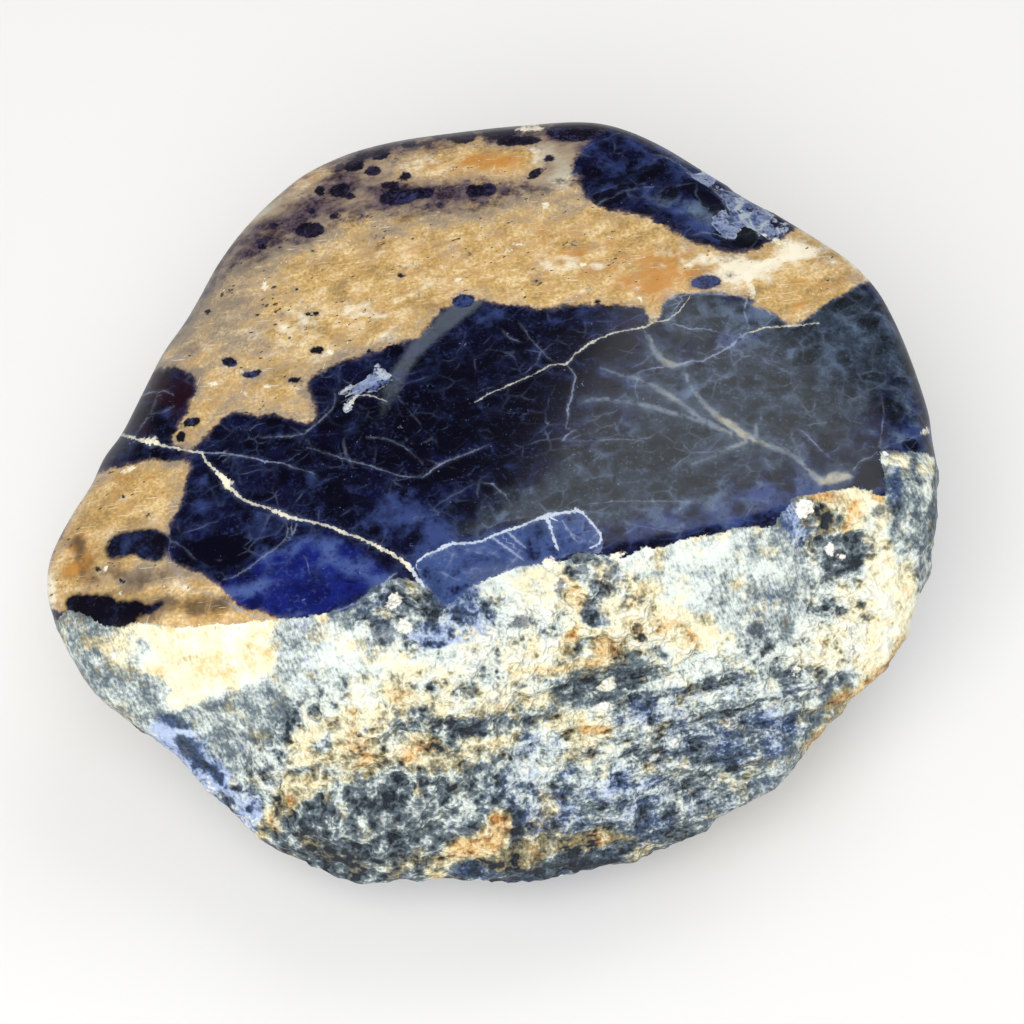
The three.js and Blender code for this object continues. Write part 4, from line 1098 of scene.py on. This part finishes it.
class Shader:
    """Short names for the nodes that a material is made from."""

    def __init__(self, owner):
        owner.use_nodes = True
        self.tree = owner.node_tree
        self.tree.nodes.clear()

    def node(self, kind, inputs=None, **settings):
        node = self.tree.nodes.new(kind)
        for name, value in settings.items():
            setattr(node, name, value)
        for key, value in (inputs or {}).items():
            if isinstance(value, bpy.types.NodeSocket):
                self.tree.links.new(value, node.inputs[key])
            else:
                node.inputs[key].default_value = value
        return node

    def math(self, operation, a, b=0.0, c=0.0):
        return self.node("ShaderNodeMath", {0: a, 1: b, 2: c}, operation=operation).outputs[0]

    def add(self, a, b):
        return self.math("ADD", a, b)

    def minus(self, a, b):
        return self.math("SUBTRACT", a, b)

    def times(self, a, b):
        return self.math("MULTIPLY", a, b)

    def times_plus(self, a, b, c):
        return self.math("MULTIPLY_ADD", a, b, c)

    def larger(self, a, b):
        return self.math("MAXIMUM", a, b)

    def size_of(self, a):
        return self.math("ABSOLUTE", a)

    def step(self, value, low, high):
        return self.node(
            "ShaderNodeMapRange", {"Value": value, "From Min": low, "From Max": high},
            interpolation_type="SMOOTHSTEP").outputs["Result"]

    def near(self, distance, reach):
        """1 where a distance is nought, falling to 0 at the reach."""
        return self.step(self.size_of(distance), reach, 0)

    def mix(self, share, a, b):
        return self.node("ShaderNodeMix", {0: share, 6: a, 7: b}, data_type="RGBA").outputs[2]

    def between(self, share, a, b):
        return self.node("ShaderNodeMix", {0: share, 2: a, 3: b}, data_type="FLOAT").outputs[0]

    def attribute(self, name):
        return self.node("ShaderNodeAttribute", attribute_name=name).outputs["Vector"]

    def parts(self, vector):
        """The three parts of a vector."""
        return self.node("ShaderNodeSeparateXYZ", {0: vector}).outputs

    def channels(self, node):
        """The three channels of a node's colour."""
        return self.node("ShaderNodeSeparateColor", {0: node.outputs["Color"]}).outputs

    def stretched(self, place, form):
        """A place measured in the sizes of a form that is drawn out in one direction."""
        sizes, turn = form
        return self.node("ShaderNodeMapping", {
            "Vector": place, "Scale": sizes, "Rotation": (0, 0, math.radians(turn))},
            vector_type="TEXTURE").outputs[0]

    def noise(self, place, size, detail, roughness, kind="3D"):
        return self.node("ShaderNodeTexNoise", {
            "Vector": place, "Scale": 1 / size, "Detail": detail, "Roughness": roughness},
            noise_dimensions=kind)

    def spread_out(self, noise):
        """Brings a noise of 0 to 1, mostly about the middle, to about -1 to 1."""
        return self.times_plus(noise, 4.0, -2.0)

    def wave(self, place, detail, roughness=0.6):
        """One random value of about -1 to 1 that does not change with depth."""
        return self.spread_out(self.noise(place, 1.0, detail, roughness, "2D").outputs[0])

    def waves(self, noise):
        """Three random values of about -1 to 1 from a noise."""
        return [self.spread_out(channel) for channel in self.channels(noise)]

    def cells(self, place, scale, **settings):
        """Straight-sided cells."""
        return self.node("ShaderNodeTexVoronoi", {"Vector": place, "Scale": scale},
                         voronoi_dimensions="2D", **settings)

    def cell_edge(self, place, scale):
        """Distance to the edge of straight-sided cells."""
        return self.cells(place, scale, feature="DISTANCE_TO_EDGE").outputs["Distance"]


class StonePaint(Shader):
    """Polished, ground and broken sodalite with feldspar and veins, in one material.

    The values that its parts share are kept by name in self.value. Names in the calls of total
    and mask are those names, and a colour given as text is one of the stone's colours."""

    def __init__(self, material, colours):
        super().__init__(material)
        self.tones = {name: (*getattr(colours, name), 1) for name in StoneColours.__annotations__}
        self.value = SimpleNamespace()
        for attribute, names in MARKINGS.items():
            vars(self.value).update(zip(names, self.parts(self.attribute(attribute))))
        # Place in millimetres: x runs right, y up the leaning view and z out of it.
        self.place = self.node("ShaderNodeMapping", {
            "Vector": self.node("ShaderNodeTexCoord").outputs["Object"],
            "Rotation": (VIEW_ELEVATION - math.pi / 2, 0, 0), "Scale": (1 / MM,) * 3}).outputs[0]
        self.noises()
        self.crackle()
        self.veins()
        self.finish()

    def total(self, plain=0.0, **shares):
        """A plain number and shares of named values, added up."""
        answer = plain
        for name, share in shares.items():
            value = vars(self.value)[name]
            alone = share == 1 and answer == 0
            answer = value if alone else self.times_plus(value, share, answer)
        return answer

    def mask(self, low, high, amount=1, **shares):
        """Rises from 0 to an amount while a total of named values passes from low to high."""
        rise = self.step(self.total(**shares), low, high)
        return rise if amount == 1 else self.times(rise, amount)

    def mix(self, share, a, b):
        a, b = (self.tones[tone] if isinstance(tone, str) else tone for tone in (a, b))
        return super().mix(share, a, b)

    def noises(self):
        """Random values in three sizes, and the small bends that they give to edges."""
        value = self.value
        lumps = self.noise(self.place, LUMP_SIZE, 2, LUMP_ROUGHNESS)
        fine = self.noise(self.place, FINE_SIZE, 1, 0.6)
        weave = self.noise(self.stretched(self.place, WEAVE_FORM), 1.0, 3, 0.64, "2D")
        value.lumps = lumps.outputs["Color"]
        value.mid, value.mid_2, value.mid_3 = self.waves(lumps)
        value.fine, value.fine_2, value.fine_3 = self.waves(fine)
        value.weave, value.weave_2, value.weave_3 = self.waves(weave)
        value.wobble = self.total(mid=0.15, fine=0.07)
        value.wobble_2 = self.total(mid_2=0.12, fine_2=0.09)
        value.bend = self.total(mid=0.05, fine_2=0.06)

    def crackle(self):
        """Two sizes of straight-sided cells, with fine pale edges here and there."""
        value, step, times = self.value, self.step, self.times
        bent = self.place
        for bend, amount in ((self.attribute("clouds"), 0.3), (value.lumps, 0.4)):
            bent = self.node("ShaderNodeVectorMath", {0: bend, 1: (amount,) * 3, 2: bent},
                             operation="MULTIPLY_ADD").outputs[0]
        lean = self.stretched(bent, CELL_FORM)
        big_edge, little_edge = (self.cell_edge(lean, scale) for scale in (BIG_CELLS, LITTLE_CELLS))
        value.cell, value.cell_2, value.cell_3 = self.channels(self.cells(lean, LITTLE_CELLS))
        value.lines = self.larger(
            times(step(big_edge, 0.034, 0.002), self.mask(-0.6, 0.7, cloud=1)),
            times(step(little_edge, 0.075, 0.0), self.mask(-0.3, 0.9, 0.8, cloud_2=1)))
        value.big_rim, value.little_rim = step(big_edge, 0.2, 0), step(little_edge, 0.34, 0)
        value.rims = self.total(big_rim=0.45, little_rim=0.55)
        value.smoke = self.near(self.total(cloud_2=1, mid_2=0.5, cloud_3=0.3), 0.34)

    def vein(self, at, half, soft, raggedness):
        """A vein's crisp core and its soft pale border."""
        gap = self.size_of(self.add(at, self.value.bend))
        ragged = self.total(fine_3=raggedness, mid_3=raggedness * 0.7, plain=0.9)
        core = self.step(self.minus(self.times(half, ragged), gap), -soft, soft * 1.4)
        return core, self.step(self.minus(self.times(half, 2.2), gap), -0.2, 0.35)

    def veins(self):
        """The cream, fine and tinted veins."""
        value, step, minus, times = self.value, self.step, self.minus, self.times
        value.cream_core, value.cream_halo = self.vein(value.cream_at, value.cream_half, 0.035, 0.6)
        value.fine_core, value.fine_halo = self.vein(
            value.fine_at, times(value.fine_half, 0.75), 0.045, 0.4)
        gap = self.size_of(self.add(value.tinted_at, value.wobble))
        value.tinted_core = step(minus(times(value.tinted_half, 1.05), gap), -0.15, 0.22)
        value.tinted_halo = step(minus(times(value.tinted_half, 2.6), gap), -0.7, 0.9)

    def sodalite(self):
        """Angular cells between a dark, a middle and a light tone. The tones are indigo blue in
        most of the stone, grey in its greyed part, which is partly a painted reflection, and bright
        in the lens."""
        value, mask, mix = self.value, self.mask, self.mix
        # The greyed share is greyed sodalite and also a painted grey reflection on the polished
        # face.
        value.steely = mask(0.38, 1.0, 0.92, steel=1, mid_2=0.22)
        value.lens = mask(-0.6, 0.6, 0.95, lens_in=1, wobble=1.8, cloud_3=0.3)
        # Plum follows the red tint, partly the stone's own and partly a painted reddish reflection
        # at the left rim.
        plummy = mix(mask(0.0, 0.85, 0.65, reddened=1), "navy", "plum")
        dark = mix(value.lens, mix(value.steely, "indigo", "coal"), "ink")
        middle = mix(value.lens, mix(value.steely, plummy, "steel"), "bright")
        light = mix(value.lens, mix(value.steely, "denim", "mist"), "hazy")
        blue = mix(mask(-0.05, 0.85, cell=0.6, cloud=0.35, mid=0.25, lens=0.25, darkest=-0.25,
                        clouded=0.15), dark, middle)
        blue = mix(mask(0.4, 1.6, clouded=1, mid_2=0.32, rims=0.2, cell_2=0.32, smoke=0.15,
                        steely=-0.12), blue, light)
        web = self.total(cloud_3=0.22, darkest=-0.12, lens=-0.12, steely=-0.02, plain=0.2)
        web = self.times(mask(0.0, 0.95, rims=0.6, smoke=0.35, fine=0.12), web)
        blue = mix(web, blue, light)
        value.grainy = self.total(fine_2=0.7, mid_3=0.45, cloud=0.2)
        blue = mix(mask(0.1, 1.2, 0.42, grainy=1), blue, light)
        blue = mix(mask(-0.1, -0.95, 0.6, grainy=1), blue, dark)
        # Whole cells go black round the marked places, so that their sides stay straight.
        value.blackened = mask(-0.55, 0.35, cell_in=1)
        blue = mix(mask(0.85, 0.95, 0.85, blackened=1, cell_3=0.5), blue, dark)
        # Wine where the red tint is strongest: a painted reddish reflection at the left rim.
        blue = mix(mask(0.75, 1.5, 0.65, reddened=1), blue, "wine")
        return mix(mask(0.1, 0.9, 0.34, band=1, mid_3=0.15, fine_3=0.1), blue, "tarnish")

    def cut_faces(self, blue):
        """The stepped and chipped faces, palest along their edges, and the crackle and dust."""
        value, mask, mix, times = self.value, self.mask, self.mix, self.times
        cut = mask(-0.05, 0.08, step_in=1, wobble=0.7)
        value.step_edge = self.near(value.step_in, 0.35)
        value.glow = self.total(step_edge=0.5, mid=0.6, cloud_3=0.4, smoke=0.3, fine=0.25,
                                cell_2=0.45, lines=0.3)
        frosted = mix(mask(-0.7, 0.4, glow=1), "navy", "frosted")
        frosted = mix(mask(0.4, 1.9, glow=1), frosted, "pale_blue")
        blue = mix(times(cut, self.total(cloud_2=0.3, plain=0.8)), blue, frosted)
        chip_edge = self.total(chip_in=1, wobble_2=0.9, cell_2=0.5, plain=-0.22)
        icy = mix(mask(-0.5, 1.2, mid=0.6, fine_2=0.5, rims=0.4, cell=0.6), "denim", "pale_blue")
        rims = self.larger(self.larger(self.near(chip_edge, 0.09), value.lines),
                           mask(0.5, 0.9, 0.8, rims=1))
        icy = mix(times(rims, 0.5), icy, "frost")
        crumbs = mask(-0.15, 0.55, mid_2=0.6, fine=0.5, cell_3=0.5, plain=0.24)
        blue = mix(times(self.step(chip_edge, -0.04, 0.05), crumbs), blue, icy)
        faint = self.total(cloud_3=0.14, mid_2=0.14, steely=0.08, lens=-0.08, plain=0.07)
        blue = mix(times(value.lines, faint), blue, "pale_blue")
        return mix(mask(0.85, 1.2, 0.4, fine_3=0.8, mid=0.5), blue, "pale_blue")

    def feldspar(self):
        """Cloudy tan, pale and iron-stained, with specks, flecks and scratches."""
        value, mask, mix = self.value, self.mask, self.mix
        value.sandy = self.total(weave=0.5, cloud=0.42, fine=0.5, rosy=0.25)
        tan = mix(mask(-0.9, 0.15, sandy=1), "deep_tan", "tan")
        tan = mix(mask(-0.15, 1.0, sandy=1), tan, "light_tan")
        tan = mix(mask(-0.1, 0.9, 0.35, rosy=1, weave_2=0.4), tan, "rose_tan")
        tan = mix(mask(0.25, 1.3, 0.85, orange=1, weave_2=0.6, fine=0.2), tan, "orange")
        tan = mix(mask(0.3, 1.1, 0.9, pale=1, weave_3=0.35, mid_3=0.3), tan, "cream")
        value.edging = mask(1.3, 0.1, tan_in=1, cloud_3=0.4)
        value.ashen = self.total(greyed=1, weave_2=0.35, fine_3=0.3, edging=0.5)
        tan = mix(mask(0.1, 0.85, 0.75, ashen=1), tan, "dusty")
        tan = mix(mask(0.55, 1.25, 0.75, ashen=1), tan, "ash")
        darkened = mask(0.2, 1.2, 0.85, browned=1, mid_2=0.35, cloud_2=0.2)
        smudges = mask(0.75, 1.25, 0.5, weave_3=0.8, cloud=0.5, fine_3=0.25)
        tan = mix(self.larger(darkened, smudges), tan, "brown")
        level, steep = (self.wave(self.stretched(self.place, form), 1) for form in SCRATCH_FORMS)
        value.scratches = self.larger(self.step(level, 0.86, 1.2), self.step(steep, 1.1, 1.45))
        flecks = mask(0.8, 1.0, 0.8, mid_2=0.65, fine_3=0.5, rosy=0.3)
        tan = mix(self.larger(self.times(value.scratches, 0.5), flecks), tan, "cream")
        value.speck = self.wave(self.stretched(self.place, SPECK_FORM), 1)
        return mix(mask(1.2, 1.36, 0.85, speck=1, fine=0.35, cloud_2=0.6, mid=0.2), tan, "soot")

    def margin(self, grape):
        """The mottled grey-mauve margin of the feldspar, with dark purple blobs."""
        value, mask, mix = self.value, self.mask, self.mix
        margin = mix(mask(-0.5, 0.6, weave=0.5, mid_2=0.4, fine=0.3), "deep_mauve", "mauve")
        value.fading = self.total(pale=1, weave_2=0.3, cloud_3=0.25)
        margin = mix(mask(-0.1, 0.7, 0.8, fading=1), margin, "dusty")
        margin = mix(mask(0.5, 1.2, 0.85, fading=1), margin, "shell")
        return mix(mask(0.42, 0.75, 0.9, cloud=0.8, mid_3=0.4, pale=-0.4), margin, grape)

    def polished_face(self):
        """Sodalite and feldspar with the feldspar's margin, grains and islands."""
        value, mask, mix, times, total = self.value, self.mask, self.mix, self.times, self.total
        blue = self.cut_faces(self.sodalite())
        grape = mix(mask(-0.6, 0.9, fine_2=0.6, mid_3=0.5), "indigo", "grape")
        face = mix(mask(-0.35, 0.35, mauve_in=1, wobble=2.2), blue, self.margin(grape))
        in_mauve = mask(-1.4, -0.5, mauve_in=1)
        value.tan_edge = total(tan_in=1, wobble=1.3, cloud_2=0.12)
        fringe = times(mask(-0.4, -0.05, tan_edge=1), total(mid_3=0.4, plain=0.3))
        face = mix(fringe, face, mix(value.steely, "mauve", "mist"))
        soft_edge = mask(-0.8, 0.9, tan_edge=1, weave_2=0.5, mid=0.3)
        crisp_edge = mask(-0.14, 0.2, tan_edge=1)
        face = mix(self.between(in_mauve, crisp_edge, soft_edge), face, self.feldspar())

        value.grain_edge = total(grain_in=1, wobble_2=0.8)
        ring = times(self.near(value.grain_edge, 0.4), mask(0.1, 0.5, tan_edge=1))
        face = mix(times(ring, total(mid=0.3, plain=0.3)), face, "ash")
        halo = times(value.around_island, mask(0.2, 1.2, 0.3, tan_in=1))
        face = mix(halo, face, "ash")
        island = mix(mask(-0.1, 1.5, steel=0.5, mid=0.4, fine_2=0.2, cloud=0.4), "indigo", "denim")
        face = mix(mask(0.1, 0.85, 0.995, island=1, mid_2=0.24, fine=0.12), face, island)
        grain = mix(mask(0.1, 1.0, steel=0.7, fine_2=0.4, mid_3=0.35), "indigo", "denim")
        grain = mix(times(in_mauve, 0.6), grain, grape)
        return mix(mask(-0.06, 0.1, 0.985, grain_edge=1), face, grain)

    def veined(self, face):
        """The polished face with its veins and white marks laid over it."""
        value, mask, mix, times, total = self.value, self.mask, self.mix, self.times, self.total
        face = mix(times(value.tinted_halo, total(mid_2=0.25, cloud_2=0.15, plain=0.4)), face,
                   "mist")
        stained = mix(mask(-1.0, 0.5, mid_2=1), "olive", "shell")
        stained = mix(mask(0.1, 0.42, tinted_half=1, mid=0.16), "tarnish", stained)
        face = mix(times(value.tinted_core, total(mid_3=0.3, fine=0.1, plain=0.75)), face, stained)
        halo = self.larger(value.fine_halo, value.cream_halo)
        face = mix(times(halo, total(mid_2=0.2, plain=0.12)), face, "pale_blue")
        strength = total(fine_half=7, mid_3=0.25, cloud_2=0.15, plain=-0.2)
        face = mix(times(value.fine_core, strength), face, "pale_blue")
        bold = mask(0.06, 0.24, cream_half=1, fine=0.06, mid_2=0.05)
        chalky = mix(mask(-0.7, -0.3, step_in=1), mix(bold, "vein", "cream"), "chalk")
        face = mix(times(value.cream_core, total(mid_3=0.3, plain=0.88)), face, chalky)
        value.white = mask(-0.08, 0.16, white_in=1, wobble_2=1.5)
        return mix(times(value.white, total(mid=0.3, plain=0.85)), face, "cream")

    def rough_face(self):
        """Ground and broken stone: light grains over dark gaps, in the tones of each place. The
        grains are lighter where the bump stands high and darker in its dips, partly as painted
        light and shade.
        """
        value, mask, mix, between = self.value, self.mask, self.mix, self.between
        beds = self.wave(self.stretched(self.place, BED_FORM), 2, 0.66)
        strokes = self.wave(self.stretched(self.place, STROKE_FORM), 2, 0.7)
        value.coarse = between(value.broken, between(0.42, value.mid, strokes),
                               between(self.times(value.layered, 0.55), value.mid, beds))
        # Painted shade: dark patches where the bump dips low in the broken stone.
        value.hollow = self.times(mask(0.25, 0.95, coarse=-0.85, cloud=-0.3, mid_2=0.4),
                                  value.broken)
        value.uneven = self.times(self.total(coarse=0.44, cloud=0.14, fine=0.19),
                                  between(value.broken, 0.72, 1.1))
        value.light = self.total(lightness=1, uneven=1, hollow=-0.34)
        value.hue = self.total(blueness=1, mid_3=0.25, fine_2=0.1)
        value.warm = self.total(warmth=1, mid_2=0.24, cloud_3=0.14, fine_3=0.12)
        middle = mix(mask(0.2, 0.85, hue=1), "grey", "rough_blue")
        middle = mix(mask(0.15, 0.6, warm=1), middle, "olive")
        middle = mix(mask(0.6, 1.0, warm=1), middle, "rust")
        top = mix(mask(0.25, 0.95, hue=1), "frost", "powder_blue")
        top = mix(mask(0.16, 0.54, warm=1), top, "straw")
        top = mix(mask(0.5, 1.0, warm=1), top, "ochre")
        rough = mix(mask(-0.1, 0.46, light=1), "slate", middle)
        rough = mix(mask(0.34, 0.88, light=1), rough, top)
        rough = mix(mask(0.9, 1.3, 0.9, light=1), rough, "white")
        knob = mix(mask(-0.7, 0.9, mid=0.5, fine=0.4, cloud=0.3), "coal", "mist")
        rough = mix(mask(-0.1, 0.3, 0.75, knob_in=1, wobble_2=2.2), rough, knob)
        return mix(mask(-0.1, 0.12, white_in=1, wobble_2=1.6), rough, "white")

    def finish(self):
        """Colour, gloss and fine relief. The bump follows the same noise as the rough stone's
        grains, so its light grains stand above its gaps; their lightness is partly painted light on
        the tops and painted shade in the gaps."""
        value, mask = self.value, self.mask
        flaked = mask(0.18, 0.34, fine_2=0.4, mid_3=0.35, polished=-1.6)
        polish = self.times(mask(-0.08, 0.08, polished=1, wobble=1.3, fine_3=0.08),
                            self.minus(1, flaked))
        face = self.veined(self.polished_face())
        gloss = self.total(rolled=0.3, scratches=0.2, white=0.25, plain=0.14)
        grains = self.noise(self.place, LUMP_SIZE, 2, LUMP_ROUGHNESS).outputs[0]
        bump = self.node("ShaderNodeBump", {
            "Strength": value.relief, "Distance": BUMP_DEPTH * MM, "Height": grains})
        principled = self.node("ShaderNodeBsdfPrincipled", {
            "Base Color": self.mix(polish, self.rough_face(), face),
            "Roughness": self.between(polish, self.between(
                value.broken, GROUND_ROUGHNESS, BROKEN_ROUGHNESS), gloss),
            "IOR": STONE_IOR,
            "Normal": bump.outputs["Normal"],
        })
        self.node("ShaderNodeOutputMaterial", {"Surface": principled.outputs[0]})


class SODALITE_OT_stone(bpy.types.Operator):
    """Makes the stone's fine mesh and finish in place of its plain solid"""

    bl_idname = "sodalite.stone"
    bl_label = "Stone"

    def execute(self, context):
        scene = context.scene
        mesh = stone_mesh(scene.sodalite_sizes)
        material = bpy.data.materials.new("sodalite_stone")
        StonePaint(material, scene.sodalite_colours)
        mesh.materials.append(material)
        stone = bpy.data.objects.new("sodalite_stone", mesh)
        scene.collection.objects.link(stone)
        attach(stone, "root")
        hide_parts("sodalite")
        return {"FINISHED"}


# ---- stage ----

FLOOR_SIDES = 96
FLOOR_TURN_UP = 10  # rings in the curve from the floor to the backdrop
FLOOR_WHITE = 0.86
FLOOR_ROUGHNESS = 0.9
# Lights: azimuth, elevation and distance from the heart, width and height, and colour.
KEY_LIGHT = ((-12, 54, 0.75), (0.7, 0.7), (1.0, 0.985, 0.96))
CARD_LIGHT = ((148, 60, 0.7), (0.4, 0.36), (0.95, 0.98, 1.0))
SENSOR_WIDTH = 36  # millimetres


def plain_material(name, value, roughness):
    """A matt grey."""
    material = bpy.data.materials.new(name)
    paint = Shader(material)
    principled = paint.node("ShaderNodeBsdfPrincipled", {
        "Base Color": (value, value, value, 1), "Roughness": roughness})
    paint.node("ShaderNodeOutputMaterial", {"Surface": principled.outputs[0]})
    return material


def area_light(name, power, aim, size, light_colour):
    """A rectangular soft light aimed at the heart."""
    place = direction(*aim)
    light = bpy.data.lights.new(name, "AREA")
    light.shape = "RECTANGLE"
    light.size, light.size_y = size
    light.energy = power
    light.color = light_colour
    lamp = bpy.data.objects.new(name, light)
    lamp.location = Vector(HEART * MM) + place
    lamp.rotation_euler = place.to_track_quat("Z", "Y").to_euler()
    bpy.context.scene.collection.objects.link(lamp)


def direction(azimuth, elevation, distance):
    """A place seen from the heart. Azimuth 0 is the front and 90 the right."""
    a, e = math.radians(azimuth), math.radians(elevation)
    return distance * Vector((math.cos(e) * math.sin(a), -math.cos(e) * math.cos(a), math.sin(e)))


class SODALITE_OT_stage(bpy.types.Operator):
    """Makes the pale floor with its turned-up rim, the lights and the camera"""

    bl_idname = "sodalite.stage"
    bl_label = "Stage"

    def execute(self, context):
        settings = context.scene.sodalite_stage
        self.floor(context.scene, settings)
        self.lights(context.scene, settings)
        self.camera(context.scene)
        return {"FINISHED"}

    def floor(self, scene, settings):
        radius, rim = settings.floor_radius, settings.rim_height
        rings = [(radius * 0.5, 0.0), (radius, 0.0)]
        for i in range(1, FLOOR_TURN_UP + 1):
            a = math.pi / 2 * i / FLOOR_TURN_UP
            rings.append((radius + rim * math.sin(a), rim * (1 - math.cos(a))))
        turns = [2 * math.pi * i / FLOOR_SIDES for i in range(FLOOR_SIDES)]
        points = [(0, 0, 0)] + [
            (r * math.cos(t), r * math.sin(t), z) for r, z in rings for t in turns]
        faces = [(0, 1 + i, 1 + (i + 1) % FLOOR_SIDES) for i in range(FLOOR_SIDES)]
        for ring in range(len(rings) - 1):
            inner = 1 + ring * FLOOR_SIDES
            outer = inner + FLOOR_SIDES
            for i in range(FLOOR_SIDES):
                j = (i + 1) % FLOOR_SIDES
                faces.append((inner + i, outer + i, outer + j, inner + j))
        mesh = bpy.data.meshes.new("floor")
        mesh.from_pydata(points, [], faces)
        mesh.polygons.foreach_set("use_smooth", [True] * len(mesh.polygons))
        mesh.materials.append(plain_material("pale_floor", FLOOR_WHITE, FLOOR_ROUGHNESS))
        floor = bpy.data.objects.new("floor", mesh)
        scene.collection.objects.link(floor)

    def lights(self, scene, settings):
        area_light("key", settings.key_power, *KEY_LIGHT)
        area_light("card", settings.card_power, *CARD_LIGHT)
        world = bpy.data.worlds.new("studio")
        paint = Shader(world)
        strength = paint.between(paint.node("ShaderNodeLightPath").outputs["Is Glossy Ray"],
                                 settings.world_strength, settings.world_sheen)
        background = paint.node("ShaderNodeBackground", {
            "Color": (1, 1, 1, 1), "Strength": strength})
        paint.node("ShaderNodeOutputWorld", {"Surface": background.outputs[0]})
        scene.world = world
        scene.view_settings.view_transform = "Standard"

    def camera(self, scene):
        lens = bpy.data.cameras.new("camera")
        lens.sensor_width = SENSOR_WIDTH
        lens.lens = SENSOR_WIDTH * VIEW_DISTANCE / (GRID_SPAN * GRID_UNIT)
        lens.clip_start = 0.01
        camera = bpy.data.objects.new("camera", lens)
        turn = Matrix((Vector((1, 0, 0)), Vector(VIEW_UP), Vector(VIEW_OUT))).transposed()
        place = Vector((HEART + VIEW_DISTANCE * VIEW_OUT) * MM)
        camera.matrix_world = Matrix.Translation(place) @ turn.to_4x4()
        scene.collection.objects.link(camera)
        scene.camera = camera


class SODALITE_PT_panel(bpy.types.Panel):
    """Lists the stone's and the stage's settings"""

    bl_label = "Rough Sodalite"
    bl_idname = "SODALITE_PT_panel"
    bl_space_type = "VIEW_3D"
    bl_region_type = "UI"
    bl_category = "Sodalite"

    def draw(self, context):
        for group in SETTINGS:
            settings = getattr(context.scene, group)
            box = self.layout.box()
            for name in settings.bl_rna.properties.keys():
                if name not in {"rna_type", "name"}:
                    box.prop(settings, name)
        self.layout.operator(SODALITE_OT_stone.bl_idname)
        self.layout.operator(SODALITE_OT_stage.bl_idname)


SETTINGS = {
    "sodalite_sizes": StoneSizes,
    "sodalite_colours": StoneColours,
    "sodalite_stage": StageSettings,
}
CLASSES = (*SETTINGS.values(), SODALITE_OT_stone, SODALITE_OT_stage, SODALITE_PT_panel)


def register():
    for cls in CLASSES:
        bpy.utils.register_class(cls)
    for name, group in SETTINGS.items():
        setattr(bpy.types.Scene, name, bpy.props.PointerProperty(type=group))


def unregister():
    for name in SETTINGS:
        delattr(bpy.types.Scene, name)
    for cls in reversed(CLASSES):
        bpy.utils.unregister_class(cls)


def main():
    register()
    bpy.ops.sodalite.stone()
    bpy.ops.sodalite.stage()


if __name__ == "__main__":
    main()
